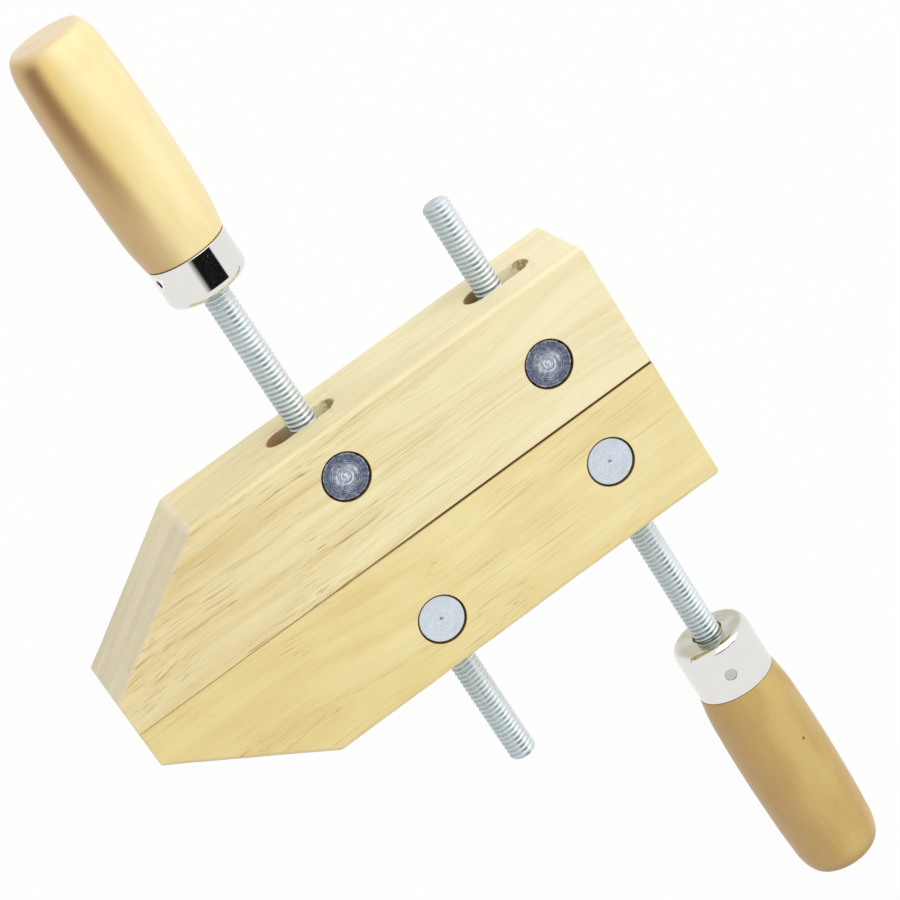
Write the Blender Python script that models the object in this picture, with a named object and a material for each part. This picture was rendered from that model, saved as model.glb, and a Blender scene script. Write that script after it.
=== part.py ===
"""Hand screw clamp: two wooden jaws drawn together by two threaded spindles.

The clamp lies flat on its back faces. X runs from the jaws' nose to their heel, Y from the
lower jaw to the upper jaw, and Z through the jaws' thickness. The origin is at the middle
of the bottom of the whole clamp's box. Each spindle passes through a barrel nut in each
jaw: the front spindle has its handle above the upper jaw, the rear one below the lower jaw.

Run with: blender --background --python part.py
"""

import math

import bmesh
import bpy
from mathutils import Matrix

MM = 0.001

# Jaws
JAW_LENGTH = 200.0 * MM
JAW_HEIGHT = 45.4 * MM
JAW_THICKNESS = 39.6 * MM
NOSE_HEIGHT = 12.7 * MM
SLOPE_LENGTH = 48.9 * MM
JAW_GAP = 0.4 * MM
SOFT_EDGE = 1.7 * MM
CRISP_EDGE = 0.8 * MM

# Pivots of the jaws, each on the centre line of its barrel nut
FRONT_PIVOT_FROM_NOSE = 98.6 * MM
FRONT_PIVOT_FROM_FACE = 29.0 * MM
REAR_PIVOT_FROM_HEEL = 28.4 * MM
REAR_PIVOT_FROM_FACE = 19.6 * MM

# Slots that let the spindles lean in the jaws
FRONT_SLOT_TO_NOSE = 13.4 * MM
FRONT_SLOT_TO_HEEL = 11.9 * MM
REAR_SLOT_TO_NOSE = 9.0 * MM
REAR_SLOT_TO_HEEL = 15.2 * MM
SLOT_SIDE_CLEARANCE = 0.75 * MM

# Barrel nuts
NUT_DIAMETER = 16.0 * MM
NUT_RECESS = 1.0 * MM
NUT_CHAMFER = 0.5 * MM
NUT_CLEARANCE = 0.3 * MM
NUT_DIMPLE_DIAMETER = 3.0 * MM
NUT_DIMPLE_DEPTH = 0.8 * MM

# Spindles
ROD_DIAMETER = 9.5 * MM
FRONT_ROD_REACH = 192.9 * MM
REAR_ROD_REACH = 177.8 * MM
ROD_CHAMFER = 1.0 * MM
ROD_CLEARANCE = 0.35 * MM
TANG_STEP = 0.75 * MM
TANG_LENGTH = 20.0 * MM
TAIL_LENGTH = 12.0 * MM
FRONT_STANDOFF = 53.3 * MM
REAR_STANDOFF = 53.3 * MM

# Ferrules and their cross pins
FERRULE_DIAMETER = 27.6 * MM
FRONT_FERRULE_LENGTH = 14.8 * MM
REAR_FERRULE_LENGTH = 20.0 * MM
FERRULE_WALL = 1.2 * MM
FERRULE_SHOULDER = 3.0 * MM
FERRULE_HOLE_CLEARANCE = 0.75 * MM
PIN_DIAMETER = 4.0 * MM
PIN_FROM_FACE = 11.2 * MM
PIN_INSET = 0.4 * MM
PIN_CHAMFER = 0.3 * MM
FRONT_PIN_TURN = math.radians(18)
REAR_PIN_TURN = math.radians(103)

# Handles
HANDLE_LENGTH = 78.6 * MM
HANDLE_DIAMETER = 31.6 * MM
HANDLE_STEP = 0.15 * MM
HANDLE_NECK_CHAMFER = 0.4 * MM
HANDLE_END_LENGTH = 12.0 * MM
HANDLE_END_DIAMETER = 29.9 * MM
HANDLE_FACE_DIAMETER = 21.6 * MM

# The barrel's swell: a share of the way along it, and a share of the way from the neck's
# radius to the handle's greatest radius
SWELL_SHARES = (
    (0.00, 0.00),
    (0.09, 0.50),
    (0.16, 0.74),
    (0.24, 0.84),
    (0.32, 0.94),
    (0.45, 1.00),
    (0.60, 1.00),
    (0.72, 0.92),
    (0.84, 0.82),
    (0.93, 0.71),
)

# Gap between pieces that touch
FIT_GAP = 0.3 * MM
# How far a cutter runs past what it cuts
OVERRUN = 5.0 * MM

ROUND_STEPS = 40
BORE_STEPS = 32
ARC_STEPS = 4
EDGE_STEPS = 4
END_STEPS = 7
SHARP_ANGLE = math.radians(32)
# The exponent of the curve that rounds a handle's end: 2 is an ellipse, 1 a straight cone
END_CURVE = 2.0

QUARTER_TURN = math.radians(90)

# Places worked out from the sizes above
REAR_PIVOT_FROM_NOSE = JAW_LENGTH - REAR_PIVOT_FROM_HEEL
NOSE_X = -JAW_LENGTH / 2
FRONT_X = NOSE_X + FRONT_PIVOT_FROM_NOSE
REAR_X = NOSE_X + REAR_PIVOT_FROM_NOSE
OUTER_FACE = JAW_GAP / 2 + JAW_HEIGHT
FRONT_OVERHANG = FRONT_STANDOFF + FRONT_FERRULE_LENGTH + HANDLE_LENGTH
REAR_OVERHANG = REAR_STANDOFF + REAR_FERRULE_LENGTH + HANDLE_LENGTH
CLAMP_PLANE_Y = (REAR_OVERHANG - FRONT_OVERHANG) / 2
AXIS_HEIGHT = max(JAW_THICKNESS, HANDLE_DIAMETER, FERRULE_DIAMETER) / 2
TANG_RADIUS = ROD_DIAMETER / 2 - TANG_STEP
BORE_END = TANG_LENGTH + FIT_GAP + TAIL_LENGTH + FIT_GAP


def clear_scene():
    for old in list(bpy.data.objects):
        bpy.data.objects.remove(old, do_unlink=True)


def finish(name, colour, roughness, metallic=0.0):
    """A Principled material."""
    material = bpy.data.materials.new(name)
    material.use_nodes = True
    shader = material.node_tree.nodes["Principled BSDF"]
    shader.inputs["Base Color"].default_value = (*colour, 1.0)
    shader.inputs["Roughness"].default_value = roughness
    shader.inputs["Metallic"].default_value = metallic
    material.diffuse_color = (*colour, 1.0)
    return material


def new_object(name, shape, material=None, parent=None):
    """Turn a bmesh into an object, with its faces pointing out and its curves smooth."""
    bmesh.ops.recalc_face_normals(shape, faces=shape.faces)
    mesh = bpy.data.meshes.new(name)
    shape.to_mesh(mesh)
    shape.free()
    mesh.shade_smooth()
    mesh.set_sharp_from_angle(angle=SHARP_ANGLE)
    piece = bpy.data.objects.new(name, mesh)
    bpy.context.scene.collection.objects.link(piece)
    piece.parent = parent
    if material:
        mesh.materials.append(material)
    return piece


def empty(name, location, turn_x=0.0):
    """An axis or pivot that pieces are parented to."""
    frame = bpy.data.objects.new(name, None)
    frame.location = location
    frame.rotation_euler = (turn_x, 0.0, 0.0)
    bpy.context.scene.collection.objects.link(frame)
    return frame


def turned(profile, steps=ROUND_STEPS):
    """Spin an outline of (radius, height) points about Z. An outline that leaves the axis
    is closed along the axis by its own two ends, and any other is closed into a ring."""
    shape = bmesh.new()
    points = [shape.verts.new((radius, 0.0, height)) for radius, height in profile]
    edges = [shape.edges.new(pair) for pair in zip(points, points[1:])]
    if profile[0][0] > 0:
        edges.append(shape.edges.new((points[-1], points[0])))
    bmesh.ops.spin(
        shape,
        geom=points + edges,
        cent=(0.0, 0.0, 0.0),
        axis=(0.0, 0.0, 1.0),
        angle=2 * math.pi,
        steps=steps,
        use_merge=True,
    )
    bmesh.ops.remove_doubles(shape, verts=shape.verts, dist=FIT_GAP / 100)
    return shape


def prism(outline, depth):
    """Extrude an outline of (x, y) points along Z, centred on z = 0."""
    shape = bmesh.new()
    corners = [shape.verts.new((x, y, -depth / 2)) for x, y in outline]
    base = shape.faces.new(corners)
    top = bmesh.ops.extrude_face_region(shape, geom=[base])["geom"]
    lifted = [item for item in top if isinstance(item, bmesh.types.BMVert)]
    bmesh.ops.translate(shape, verts=lifted, vec=(0.0, 0.0, depth))
    return shape


def arc(centre_radius, centre_height, radius, start, end, steps=ARC_STEPS):
    """Points of a rounded corner in an outline, from one angle to another."""
    angles = [start + (end - start) * i / steps for i in range(steps + 1)]
    return [
        (centre_radius + radius * math.cos(a), centre_height + radius * math.sin(a))
        for a in angles
    ]


def cutter(name, shape, parent, location=(0.0, 0.0, 0.0), rotation=(0.0, 0.0, 0.0)):
    """A shape that a Boolean takes away from other pieces."""
    tool = new_object(name, shape, parent=parent)
    tool.location = location
    tool.rotation_euler = rotation
    tool.hide_render = True
    tool.display_type = "WIRE"
    return tool


def cut(piece, tool):
    """Take a cutter's shape out of a piece."""
    boolean = piece.modifiers.new("Cut " + tool.name, "BOOLEAN")
    boolean.operation = "DIFFERENCE"
    boolean.solver = "EXACT"
    boolean.object = tool


def cylinder(radius, length, steps=BORE_STEPS):
    """A plain cylinder along Z, centred on the origin."""
    half = length / 2
    return turned([(0.0, -half), (radius, -half), (radius, half), (0.0, half)], steps)


# Jaws


def jaw_blank(side):
    """A jaw's bar with its nose slope, drawn from its rear pivot. side is 1 for the upper
    jaw and -1 for the lower. Each edge carries its softness as a bevel weight."""
    corners = [
        (0.0, 0.0),
        (JAW_LENGTH, 0.0),
        (JAW_LENGTH, JAW_HEIGHT),
        (SLOPE_LENGTH, JAW_HEIGHT),
        (0.0, NOSE_HEIGHT),
    ]
    # Softness of the outline's edges that start at each corner, and of the corners' own
    # edges through the thickness
    rims = (CRISP_EDGE, CRISP_EDGE, SOFT_EDGE, SOFT_EDGE, CRISP_EDGE)
    ridges = (CRISP_EDGE, CRISP_EDGE, SOFT_EDGE, CRISP_EDGE, CRISP_EDGE)
    outline = [
        (along - REAR_PIVOT_FROM_NOSE, side * (away - REAR_PIVOT_FROM_FACE))
        for along, away in corners
    ]
    shape = prism(outline, JAW_THICKNESS)
    weight = shape.edges.layers.float.new("bevel_weight_edge")
    count = len(outline)

    def corner_of(vertex):
        distances = [math.dist(vertex.co.xy, point) for point in outline]
        return distances.index(min(distances))

    for edge in shape.edges:
        first, last = (corner_of(vertex) for vertex in edge.verts)
        if first == last:
            softness = ridges[first]
        elif (first + 1) % count == last:
            softness = rims[first]
        else:
            softness = rims[last]
        edge[weight] = softness / SOFT_EDGE
    return shape


def slot_shape(to_nose, to_heel, depth):
    """A slot with round ends, along Z, its origin on the spindle's centre line."""
    radius = ROD_DIAMETER / 2 + SLOT_SIDE_CLEARANCE
    nose_end = arc(
        radius - to_nose, 0.0, radius, QUARTER_TURN, 3 * QUARTER_TURN, 3 * ARC_STEPS
    )
    heel_end = arc(
        to_heel - radius, 0.0, radius, -QUARTER_TURN, QUARTER_TURN, 3 * ARC_STEPS
    )
    return prism(nose_end + heel_end, depth)


def jaw(name, side, material):
    """A jaw, with its origin on its rear pivot, and its two nut bores and two slots."""
    pivot_y = CLAMP_PLANE_Y + side * (JAW_GAP / 2 + REAR_PIVOT_FROM_FACE)
    piece = new_object(name, jaw_blank(side), material)
    piece.location = (REAR_X, pivot_y, AXIS_HEIGHT)
    softened = piece.modifiers.new("Softened edges", "BEVEL")
    softened.limit_method = "WEIGHT"
    softened.width = SOFT_EDGE
    softened.segments = EDGE_STEPS

    pivots = {
        "front": (
            FRONT_X - REAR_X,
            FRONT_PIVOT_FROM_FACE - REAR_PIVOT_FROM_FACE,
            FRONT_SLOT_TO_NOSE,
            FRONT_SLOT_TO_HEEL,
        ),
        "rear": (0.0, 0.0, REAR_SLOT_TO_NOSE, REAR_SLOT_TO_HEEL),
    }
    bore_radius = NUT_DIAMETER / 2 + NUT_CLEARANCE
    middle = side * (JAW_HEIGHT / 2 - REAR_PIVOT_FROM_FACE)
    for place, (along, away, to_nose, to_heel) in pivots.items():
        bore = cutter(
            f"{name}_{place}_bore",
            cylinder(bore_radius, JAW_THICKNESS + 2 * OVERRUN, ROUND_STEPS),
            piece,
            (along, side * away, 0.0),
        )
        slot = cutter(
            f"{name}_{place}_slot",
            slot_shape(to_nose, to_heel, JAW_HEIGHT + 2 * OVERRUN),
            piece,
            (along, middle, 0.0),
            (QUARTER_TURN, 0.0, 0.0),
        )
        cut(piece, bore)
        cut(piece, slot)
    return piece


# Barrel nuts


def barrel_nut(name, along, from_face, side, material):
    """A round nut across a jaw, with its origin on the jaw's pivot, a bore for the spindle
    and a turner's dimple in each end."""
    half = JAW_THICKNESS / 2 - NUT_RECESS
    radius = NUT_DIAMETER / 2
    dimple = NUT_DIMPLE_DIAMETER / 2
    upper_half = [
        (radius, half - NUT_CHAMFER),
        (radius - NUT_CHAMFER, half),
        (dimple, half),
        (0.0, half - NUT_DIMPLE_DEPTH),
    ]
    lower_half = [(r, -height) for r, height in reversed(upper_half)]
    piece = new_object(name, turned(lower_half + upper_half), material)
    piece.location = (
        along,
        CLAMP_PLANE_Y + side * (JAW_GAP / 2 + from_face),
        AXIS_HEIGHT,
    )
    bore = cutter(
        name + "_bore",
        cylinder(ROD_DIAMETER / 2 + ROD_CLEARANCE, NUT_DIAMETER + 2 * OVERRUN),
        piece,
        rotation=(QUARTER_TURN, 0.0, 0.0),
    )
    cut(piece, bore)
    return piece


# Spindles, drawn along Z from the ferrule's face at z = 0. The rod's free end is below it
# and the handle above.


def rod_profile(reach):
    """The rod up to the ferrule, and its thinner tang inside the handle."""
    radius = ROD_DIAMETER / 2
    return [
        (0.0, -reach),
        (radius - ROD_CHAMFER, -reach),
        (radius, ROD_CHAMFER - reach),
        (radius, FERRULE_WALL),
        (TANG_RADIUS, FERRULE_WALL),
        (TANG_RADIUS, TANG_LENGTH),
        (0.0, TANG_LENGTH),
    ]


def tail_profile():
    """The last stretch of the tang, which reaches the bottom of the handle's bore."""
    start = TANG_LENGTH + FIT_GAP
    end = start + TAIL_LENGTH
    return [(0.0, start), (TANG_RADIUS, start), (TANG_RADIUS, end), (0.0, end)]


def ferrule_profile(length):
    """A cup with a rounded shoulder and a hole in its face for the rod."""
    radius = FERRULE_DIAMETER / 2
    hole = ROD_DIAMETER / 2 + FERRULE_HOLE_CLEARANCE
    centre = radius - FERRULE_SHOULDER
    inner = FERRULE_SHOULDER - FERRULE_WALL
    outside = arc(centre, FERRULE_SHOULDER, FERRULE_SHOULDER, -QUARTER_TURN, 0.0)
    inside = arc(centre, FERRULE_SHOULDER, inner, 0.0, -QUARTER_TURN)
    return (
        [(hole, 0.0)]
        + outside
        + [(radius, length), (radius - FERRULE_WALL, length)]
        + inside
        + [(hole, FERRULE_WALL)]
    )


def smooth_curve(points, steps):
    """A Catmull-Rom curve through (along, value) points, as more points."""
    first = tuple(2 * a - b for a, b in zip(points[0], points[1]))
    last = tuple(2 * a - b for a, b in zip(points[-1], points[-2]))
    guides = [first, *points, last]
    curve = []
    for p0, p1, p2, p3 in zip(guides, guides[1:], guides[2:], guides[3:]):
        for i in range(steps):
            t = i / steps
            curve.append(
                tuple(
                    0.5
                    * (
                        2 * b
                        + (c - a) * t
                        + (2 * a - 5 * b + 4 * c - d) * t**2
                        + (3 * b - a - 3 * c + d) * t**3
                    )
                    for a, b, c, d in zip(p0, p1, p2, p3)
                )
            )
    return [*curve, points[-1]]


def handle_outside(rim, end):
    """The handle's barrel from the ferrule's rim to its flat end face."""
    neck = FERRULE_DIAMETER / 2 + HANDLE_STEP
    swell = HANDLE_DIAMETER / 2 - neck
    barrel_end = end - HANDLE_END_LENGTH
    start = rim + FIT_GAP + HANDLE_NECK_CHAMFER
    shares = [*SWELL_SHARES, (1.0, (HANDLE_END_DIAMETER / 2 - neck) / swell)]
    points = [
        (neck + swell * out, start + (barrel_end - start) * along)
        for along, out in smooth_curve(shares, 2)
    ]
    face = HANDLE_FACE_DIAMETER / 2
    drop = HANDLE_END_DIAMETER / 2 - face
    for i in range(1, END_STEPS + 1):
        angle = QUARTER_TURN * i / END_STEPS
        along = math.sin(angle) ** (2 / END_CURVE)
        out = math.cos(angle) ** (2 / END_CURVE) if i < END_STEPS else 0.0
        points.append((face + drop * out, barrel_end + HANDLE_END_LENGTH * along))
    return points


def handle_profile(rim, end):
    """The handle with its tenon in the ferrule and its blind bore for the tang."""
    bore = TANG_RADIUS + FIT_GAP
    face = FERRULE_WALL + FIT_GAP
    tenon = FERRULE_DIAMETER / 2 - face
    shoulder = max(FERRULE_SHOULDER - face, FIT_GAP)
    neck = FERRULE_DIAMETER / 2 + HANDLE_STEP - HANDLE_NECK_CHAMFER
    base = rim + FIT_GAP
    corner = arc(tenon - shoulder, face + shoulder, shoulder, -QUARTER_TURN, 0.0)
    return (
        [(0.0, BORE_END), (bore, BORE_END), (bore, face)]
        + corner
        + [(tenon, base), (neck, base)]
        + handle_outside(rim, end)
        + [(0.0, end)]
    )


def pin_profile():
    """A cross pin with small chamfers, as long as the ferrule is wide less its inset."""
    radius = PIN_DIAMETER / 2
    half = FERRULE_DIAMETER / 2 - PIN_INSET
    upper_half = [
        (radius, half - PIN_CHAMFER),
        (radius - PIN_CHAMFER, half),
        (0.0, half),
    ]
    return [(r, -height) for r, height in reversed(upper_half)] + upper_half


def spindle(place, along, side, lengths, pin_turn, materials):
    """One spindle with its handle, ferrule and pin. side is 1 where the handle is above
    the upper jaw, and -1 where it is below the lower jaw."""
    standoff, reach, ferrule_length = lengths
    wood, zinc, plating, steel = materials
    handle_end = ferrule_length + HANDLE_LENGTH
    face_y = CLAMP_PLANE_Y + side * (OUTER_FACE + standoff)
    axis = empty(
        f"{place}_spindle_axis",
        (along, face_y, AXIS_HEIGHT),
        -side * QUARTER_TURN,
    )
    rod = new_object(
        f"{place}_spindle", turned(rod_profile(reach), BORE_STEPS), zinc, axis
    )
    new_object(
        f"{place}_spindle_tail", turned(tail_profile(), BORE_STEPS), steel, axis
    )
    ferrule = new_object(
        f"{place}_ferrule", turned(ferrule_profile(ferrule_length)), plating, axis
    )
    handle = new_object(
        f"{place}_handle", turned(handle_profile(ferrule_length, handle_end)), wood, axis
    )

    pin_spot = (0.0, 0.0, PIN_FROM_FACE)
    across = Matrix.Rotation(QUARTER_TURN, 3, "Y")
    pin_rotation = (Matrix.Rotation(pin_turn, 3, "Z") @ across).to_euler()
    pin = new_object(
        f"{place}_ferrule_pin", turned(pin_profile(), BORE_STEPS // 2), steel, axis
    )
    pin.location = pin_spot
    pin.rotation_euler = pin_rotation
    pin_hole = cutter(
        f"{place}_pin_hole",
        cylinder(PIN_DIAMETER / 2 + FIT_GAP, FERRULE_DIAMETER + 2 * OVERRUN, BORE_STEPS // 2),
        axis,
        pin_spot,
        pin_rotation,
    )
    for piece in (rod, ferrule, handle):
        cut(piece, pin_hole)


def main():
    clear_scene()
    upper_wood = finish("pale_wood", (0.87, 0.76, 0.50), 0.55)
    lower_wood = finish("warm_wood", (0.83, 0.70, 0.42), 0.55)
    front_varnish = finish("pale_varnished_wood", (0.90, 0.76, 0.42), 0.3)
    rear_varnish = finish("tan_varnished_wood", (0.73, 0.46, 0.16), 0.3)
    dark_steel = finish("dark_steel", (0.15, 0.18, 0.22), 0.4, 1.0)
    zinc = finish("bright_zinc", (0.68, 0.73, 0.76), 0.3, 1.0)
    plating = finish("polished_plating", (0.80, 0.80, 0.80), 0.12, 1.0)
    steel = finish("plain_steel", (0.55, 0.55, 0.55), 0.35, 1.0)

    jaw("upper_jaw", 1, upper_wood)
    jaw("lower_jaw", -1, lower_wood)
    for level, side, metal in (("upper", 1, dark_steel), ("lower", -1, zinc)):
        barrel_nut(
            f"front_{level}_nut", FRONT_X, FRONT_PIVOT_FROM_FACE, side, metal
        )
        barrel_nut(f"rear_{level}_nut", REAR_X, REAR_PIVOT_FROM_FACE, side, metal)
    spindle(
        "front", FRONT_X, 1,
        (FRONT_STANDOFF, FRONT_ROD_REACH, FRONT_FERRULE_LENGTH),
        FRONT_PIN_TURN, (front_varnish, zinc, plating, steel),
    )
    spindle(
        "rear", REAR_X, -1,
        (REAR_STANDOFF, REAR_ROD_REACH, REAR_FERRULE_LENGTH),
        REAR_PIN_TURN, (rear_varnish, zinc, plating, steel),
    )


main()
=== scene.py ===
"""Hand screw clamp: the finish of every piece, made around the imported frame.

Each operator makes one piece or a group of like pieces. A shape is worked out as whole numpy
arrays, its place is taken from the frame, and its material is procedural. X runs from the
jaws' nose to their heel, Y from the lower jaw to the upper jaw and Z through the jaws'
thickness. Lengths are metres, and the grain is worked out in millimetres.
"""

import math

import bmesh
import bpy
import numpy as np
from bpy.props import FloatProperty, FloatVectorProperty, PointerProperty
from mathutils import Matrix, Vector


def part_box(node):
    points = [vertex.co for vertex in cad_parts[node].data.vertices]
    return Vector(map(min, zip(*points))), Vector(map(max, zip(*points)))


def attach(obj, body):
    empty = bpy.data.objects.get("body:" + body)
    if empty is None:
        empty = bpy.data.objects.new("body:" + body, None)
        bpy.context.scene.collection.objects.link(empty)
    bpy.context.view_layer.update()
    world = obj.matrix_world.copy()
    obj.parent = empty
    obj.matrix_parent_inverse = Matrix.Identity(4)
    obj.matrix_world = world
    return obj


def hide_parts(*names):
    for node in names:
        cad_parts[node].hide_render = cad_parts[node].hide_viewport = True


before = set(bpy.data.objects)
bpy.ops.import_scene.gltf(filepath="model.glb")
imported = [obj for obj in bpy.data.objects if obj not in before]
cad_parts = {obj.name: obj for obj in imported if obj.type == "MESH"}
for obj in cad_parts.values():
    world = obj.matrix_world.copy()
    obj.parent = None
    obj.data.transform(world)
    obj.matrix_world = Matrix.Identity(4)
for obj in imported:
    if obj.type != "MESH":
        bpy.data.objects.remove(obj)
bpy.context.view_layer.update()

bl_info = {
    "name": "Hand screw clamp",
    "version": (1, 0, 0),
    "blender": (4, 5, 0),
    "location": "3D View > Sidebar > Clamp",
    "description": "Wooden hand screw clamp with turned handles and threaded spindles",
    "category": "Add Mesh",
}

MM = 0.001
FULL_TURN = 2 * math.pi
SHARP_ANGLE = math.radians(30)
# How far a cutter runs past what it cuts
OVERRUN = 4 * MM
# The width of the narrow rows that keep a flat face's shading flat beside a rounded edge
SUPPORT = 0.1 * MM
# How many sides each round shape has
SIDES = {
    "jaw_bore": 96,
    "nut": 112,
    "nut_bore": 64,
    "spindle": 40,
    "pin": 40,
    "pin_hole": 48,
    "ferrule": 144,
    "handle": 160,
}

SPINDLES = ("front", "rear")
# Each jaw's name and the side of the clamping line that it is on
JAWS = {"upper": 1, "lower": -1}


# Places in the frame


def centre(node):
    """The middle of a node's box."""
    low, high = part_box(node)
    return (low + high) / 2


def spindle_axis(place):
    """Where a spindle's axis meets its ferrule's face, as x, y and z, and the side of the
    clamp that its handle is on."""
    low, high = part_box(f"{place}_ferrule")
    side = 1 if centre(f"{place}_handle").y > low.y else -1
    return (low.x + high.x) / 2, low.y if side > 0 else high.y, (low.z + high.z) / 2, side


def onto_spindle(points, place):
    """Points drawn along +Z from the ferrule's face, laid along a spindle's axis: the
    height above the face is added to y on the handle's side."""
    x, face, z, side = spindle_axis(place)
    return np.stack(
        [x + points[..., 0], face + side * points[..., 2], z - side * points[..., 1]], -1
    )


def from_spindle(points, place):
    """Points of the frame, drawn along +Z from the ferrule's face again."""
    x, face, z, side = spindle_axis(place)
    return np.stack(
        [points[..., 0] - x, side * (z - points[..., 2]), side * (points[..., 1] - face)], -1
    )


def length_along(place, node):
    """The nearest and farthest heights of a node above its spindle's ferrule face."""
    _, face, _, side = spindle_axis(place)
    low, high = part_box(node)
    ends = sorted((side * (low.y - face), side * (high.y - face)))
    return ends[0], ends[1]


def radius_of(node):
    """Half of a turned node's width."""
    low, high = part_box(node)
    return (high.x - low.x) / 2


# Colours and properties


def screen_colour(code):
    """The linear colour of six hexadecimal digits: each share s of full brightness becomes
    ((s + 0.055) / 1.055) to the power 2.4."""
    shares = [int(code[i : i + 2], 16) / 255 for i in (0, 2, 4)]
    return tuple(((s + 0.055) / 1.055) ** 2.4 for s in shares)


def tinted(tone, factor):
    """A colour made darker or paler by a factor."""
    return tuple(factor * part for part in tone)


def length(name, value, description):
    """A length of a piece, whose default is given in millimetres."""
    return FloatProperty(
        name=name, description=description, default=value * MM, unit="LENGTH", precision=5
    )


def share(name, value, description, most=1.0):
    """A plain number from 0 to its most."""
    return FloatProperty(name=name, description=description, default=value, min=0.0, max=most)


def colour(name, code, description):
    """A colour, whose default is given as six hexadecimal digits."""
    return FloatVectorProperty(
        name=name,
        description=description,
        default=screen_colour(code),
        subtype="COLOR",
        min=0.0,
        max=1.0,
    )


class JawSettings(bpy.types.PropertyGroup):
    """Sizes and colours of the two wooden jaws."""

    nose_height: length("Nose height", 12.7, "Height of the jaw's blunt nose")
    slope_length: length("Slope length", 48.9, "How far the slope runs back from the nose")
    soft_edge: length("Soft edge", 1.7, "Radius of the outer face's worn edges")
    crisp_edge: length("Crisp edge", 0.3, "Radius of the clamping face's edges")
    slope_corner: length("Slope corner", 2.2, "Radius of the corner where the slope starts")
    nose_corner: length("Nose corner", 1.4, "Radius of the corner where the slope ends")
    bore_clearance: length("Bore clearance", 0.16, "Gap round each barrel nut")
    slot_clearance: length("Slot clearance", 0.75, "Gap beside each spindle")
    front_slot_to_nose: length("Front slot to nose", 13.4, "Reach of the front slot")
    front_slot_to_heel: length("Front slot to heel", 11.9, "Reach of the front slot")
    rear_slot_to_nose: length("Rear slot to nose", 9.0, "Reach of the rear slot")
    rear_slot_to_heel: length("Rear slot to heel", 15.2, "Reach of the rear slot")
    tear: length("Torn fibres", 1.4, "Depth of the torn fibres at a slot's heel end")
    proud: length("Proud face", 0.14, "How far the clamping face stands proud at the nose")
    upper_pale: colour("Upper pale wood", "F8EDBC", "Pale bands of the upper jaw")
    upper_warm: colour("Upper warm wood", "E3CA8C", "Warm bands of the upper jaw")
    lower_pale: colour("Lower pale wood", "F6E7AA", "Pale bands of the lower jaw")
    lower_warm: colour("Lower warm wood", "E6CC86", "Warm bands of the lower jaw")
    # Pale wood towards the heel; this colour is also painted light on the outer face and inside
    # the slots
    pale_wood_and_light: colour("Bleached wood", "FFF6D2", "Paler wood towards the heel")
    slope: colour("Slope wood", "E6DCC0", "Greyer wood where the slope was sawn")
    streak: colour("Streak", "C8965A", "Long soft streaks in the grain")
    fleck: colour("Fleck", "A36A2C", "Thin flecks in the grain")
    hole: colour("Slot wood", "A87B3A", "Darkened wood at the slots' nose ends")
    # Painted shade: the bores' walls are painted dark, standing for the shade deep in the gap
    # round each nut
    bore: colour("Bore wood", "75572F", "Oily wood inside the nuts' bores")
    torn: colour("Torn wood", "AC8640", "Torn wood at the slots' heel ends")
    # Painted shade in the gap between the jaws, along the clamping faces' edges
    joint: colour("Joint", "7A5424", "Dirt along the clamping faces' edges")


class NutSettings(bpy.types.PropertyGroup):
    """Sizes and colours of the four barrel nuts."""

    chamfer: length("Chamfer", 0.5, "Width of the end's chamfer")
    ring_pitch: length("Ring pitch", 0.42, "Distance between the turning rings")
    ring_depth: length("Ring depth", 0.022, "Depth of the turning rings")
    growth: length("Growth", 0.3, "How much nearer the jaw's faces the ends come")
    pip_radius: length("Pip radius", 1.1, "Radius of the pip left by the lathe")
    pip_height: length("Pip height", 0.3, "Height of the pip")
    dimple_radius: length("Dimple radius", 0.8, "Radius of the lower nuts' dimple")
    dimple_depth: length("Dimple depth", 0.5, "Depth of the lower nuts' dimple")
    bore_clearance: length("Bore clearance", 0.35, "Gap round the spindle")
    # Painted dark reflection: the upper nuts' steel is painted dark, standing for a dark thing
    # reflected in it
    dark: colour("Dark steel", "6E788E", "Colour of the upper nuts near their rims")
    worn: colour("Worn steel", "B4BDCD", "Colour of the upper nuts near their middles")
    # Painted highlights and real scratches: the bright swirl and rim patches are painted
    # highlights, the fine hairs are scratches
    highlights_and_scratches: colour("Swirl", "F2F6FA", "Bright scratches that wind round the upper nuts' middles")
    zinc: colour("Zinc", "D9E2EA", "Colour of the lower nuts")


class SpindleSettings(bpy.types.PropertyGroup):
    """Sizes and colours of the two threaded spindles."""

    pitch: length("Thread pitch", 1.7, "Distance from crest to crest")
    depth: length("Thread depth", 0.37, "Height of a crest above its root")
    plain_half: length("Plain half", 3.5, "Half of the plain stretch between the threads")
    chamfer: length("Chamfer", 1.0, "Width of the free end's chamfer")
    tang_step: length("Tang step", 0.75, "How much thinner the tang in the handle is")
    tang_length: length("Tang length", 20.0, "How far the tang reaches past the face")
    zinc: colour("Zinc", "C8D3D6", "Colour of the threads' crests and flanks")
    # Painted reflection: the threads' heel side is brighter, as if a bright lamp were reflected
    # there
    bright: colour("Bright zinc", "E8EDF2", "Colour of the threads' brighter side")
    # Painted shade and dark reflection in the threads' roots
    root: colour("Root", "7E8A90", "Colour of the oil in the threads' roots")


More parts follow.
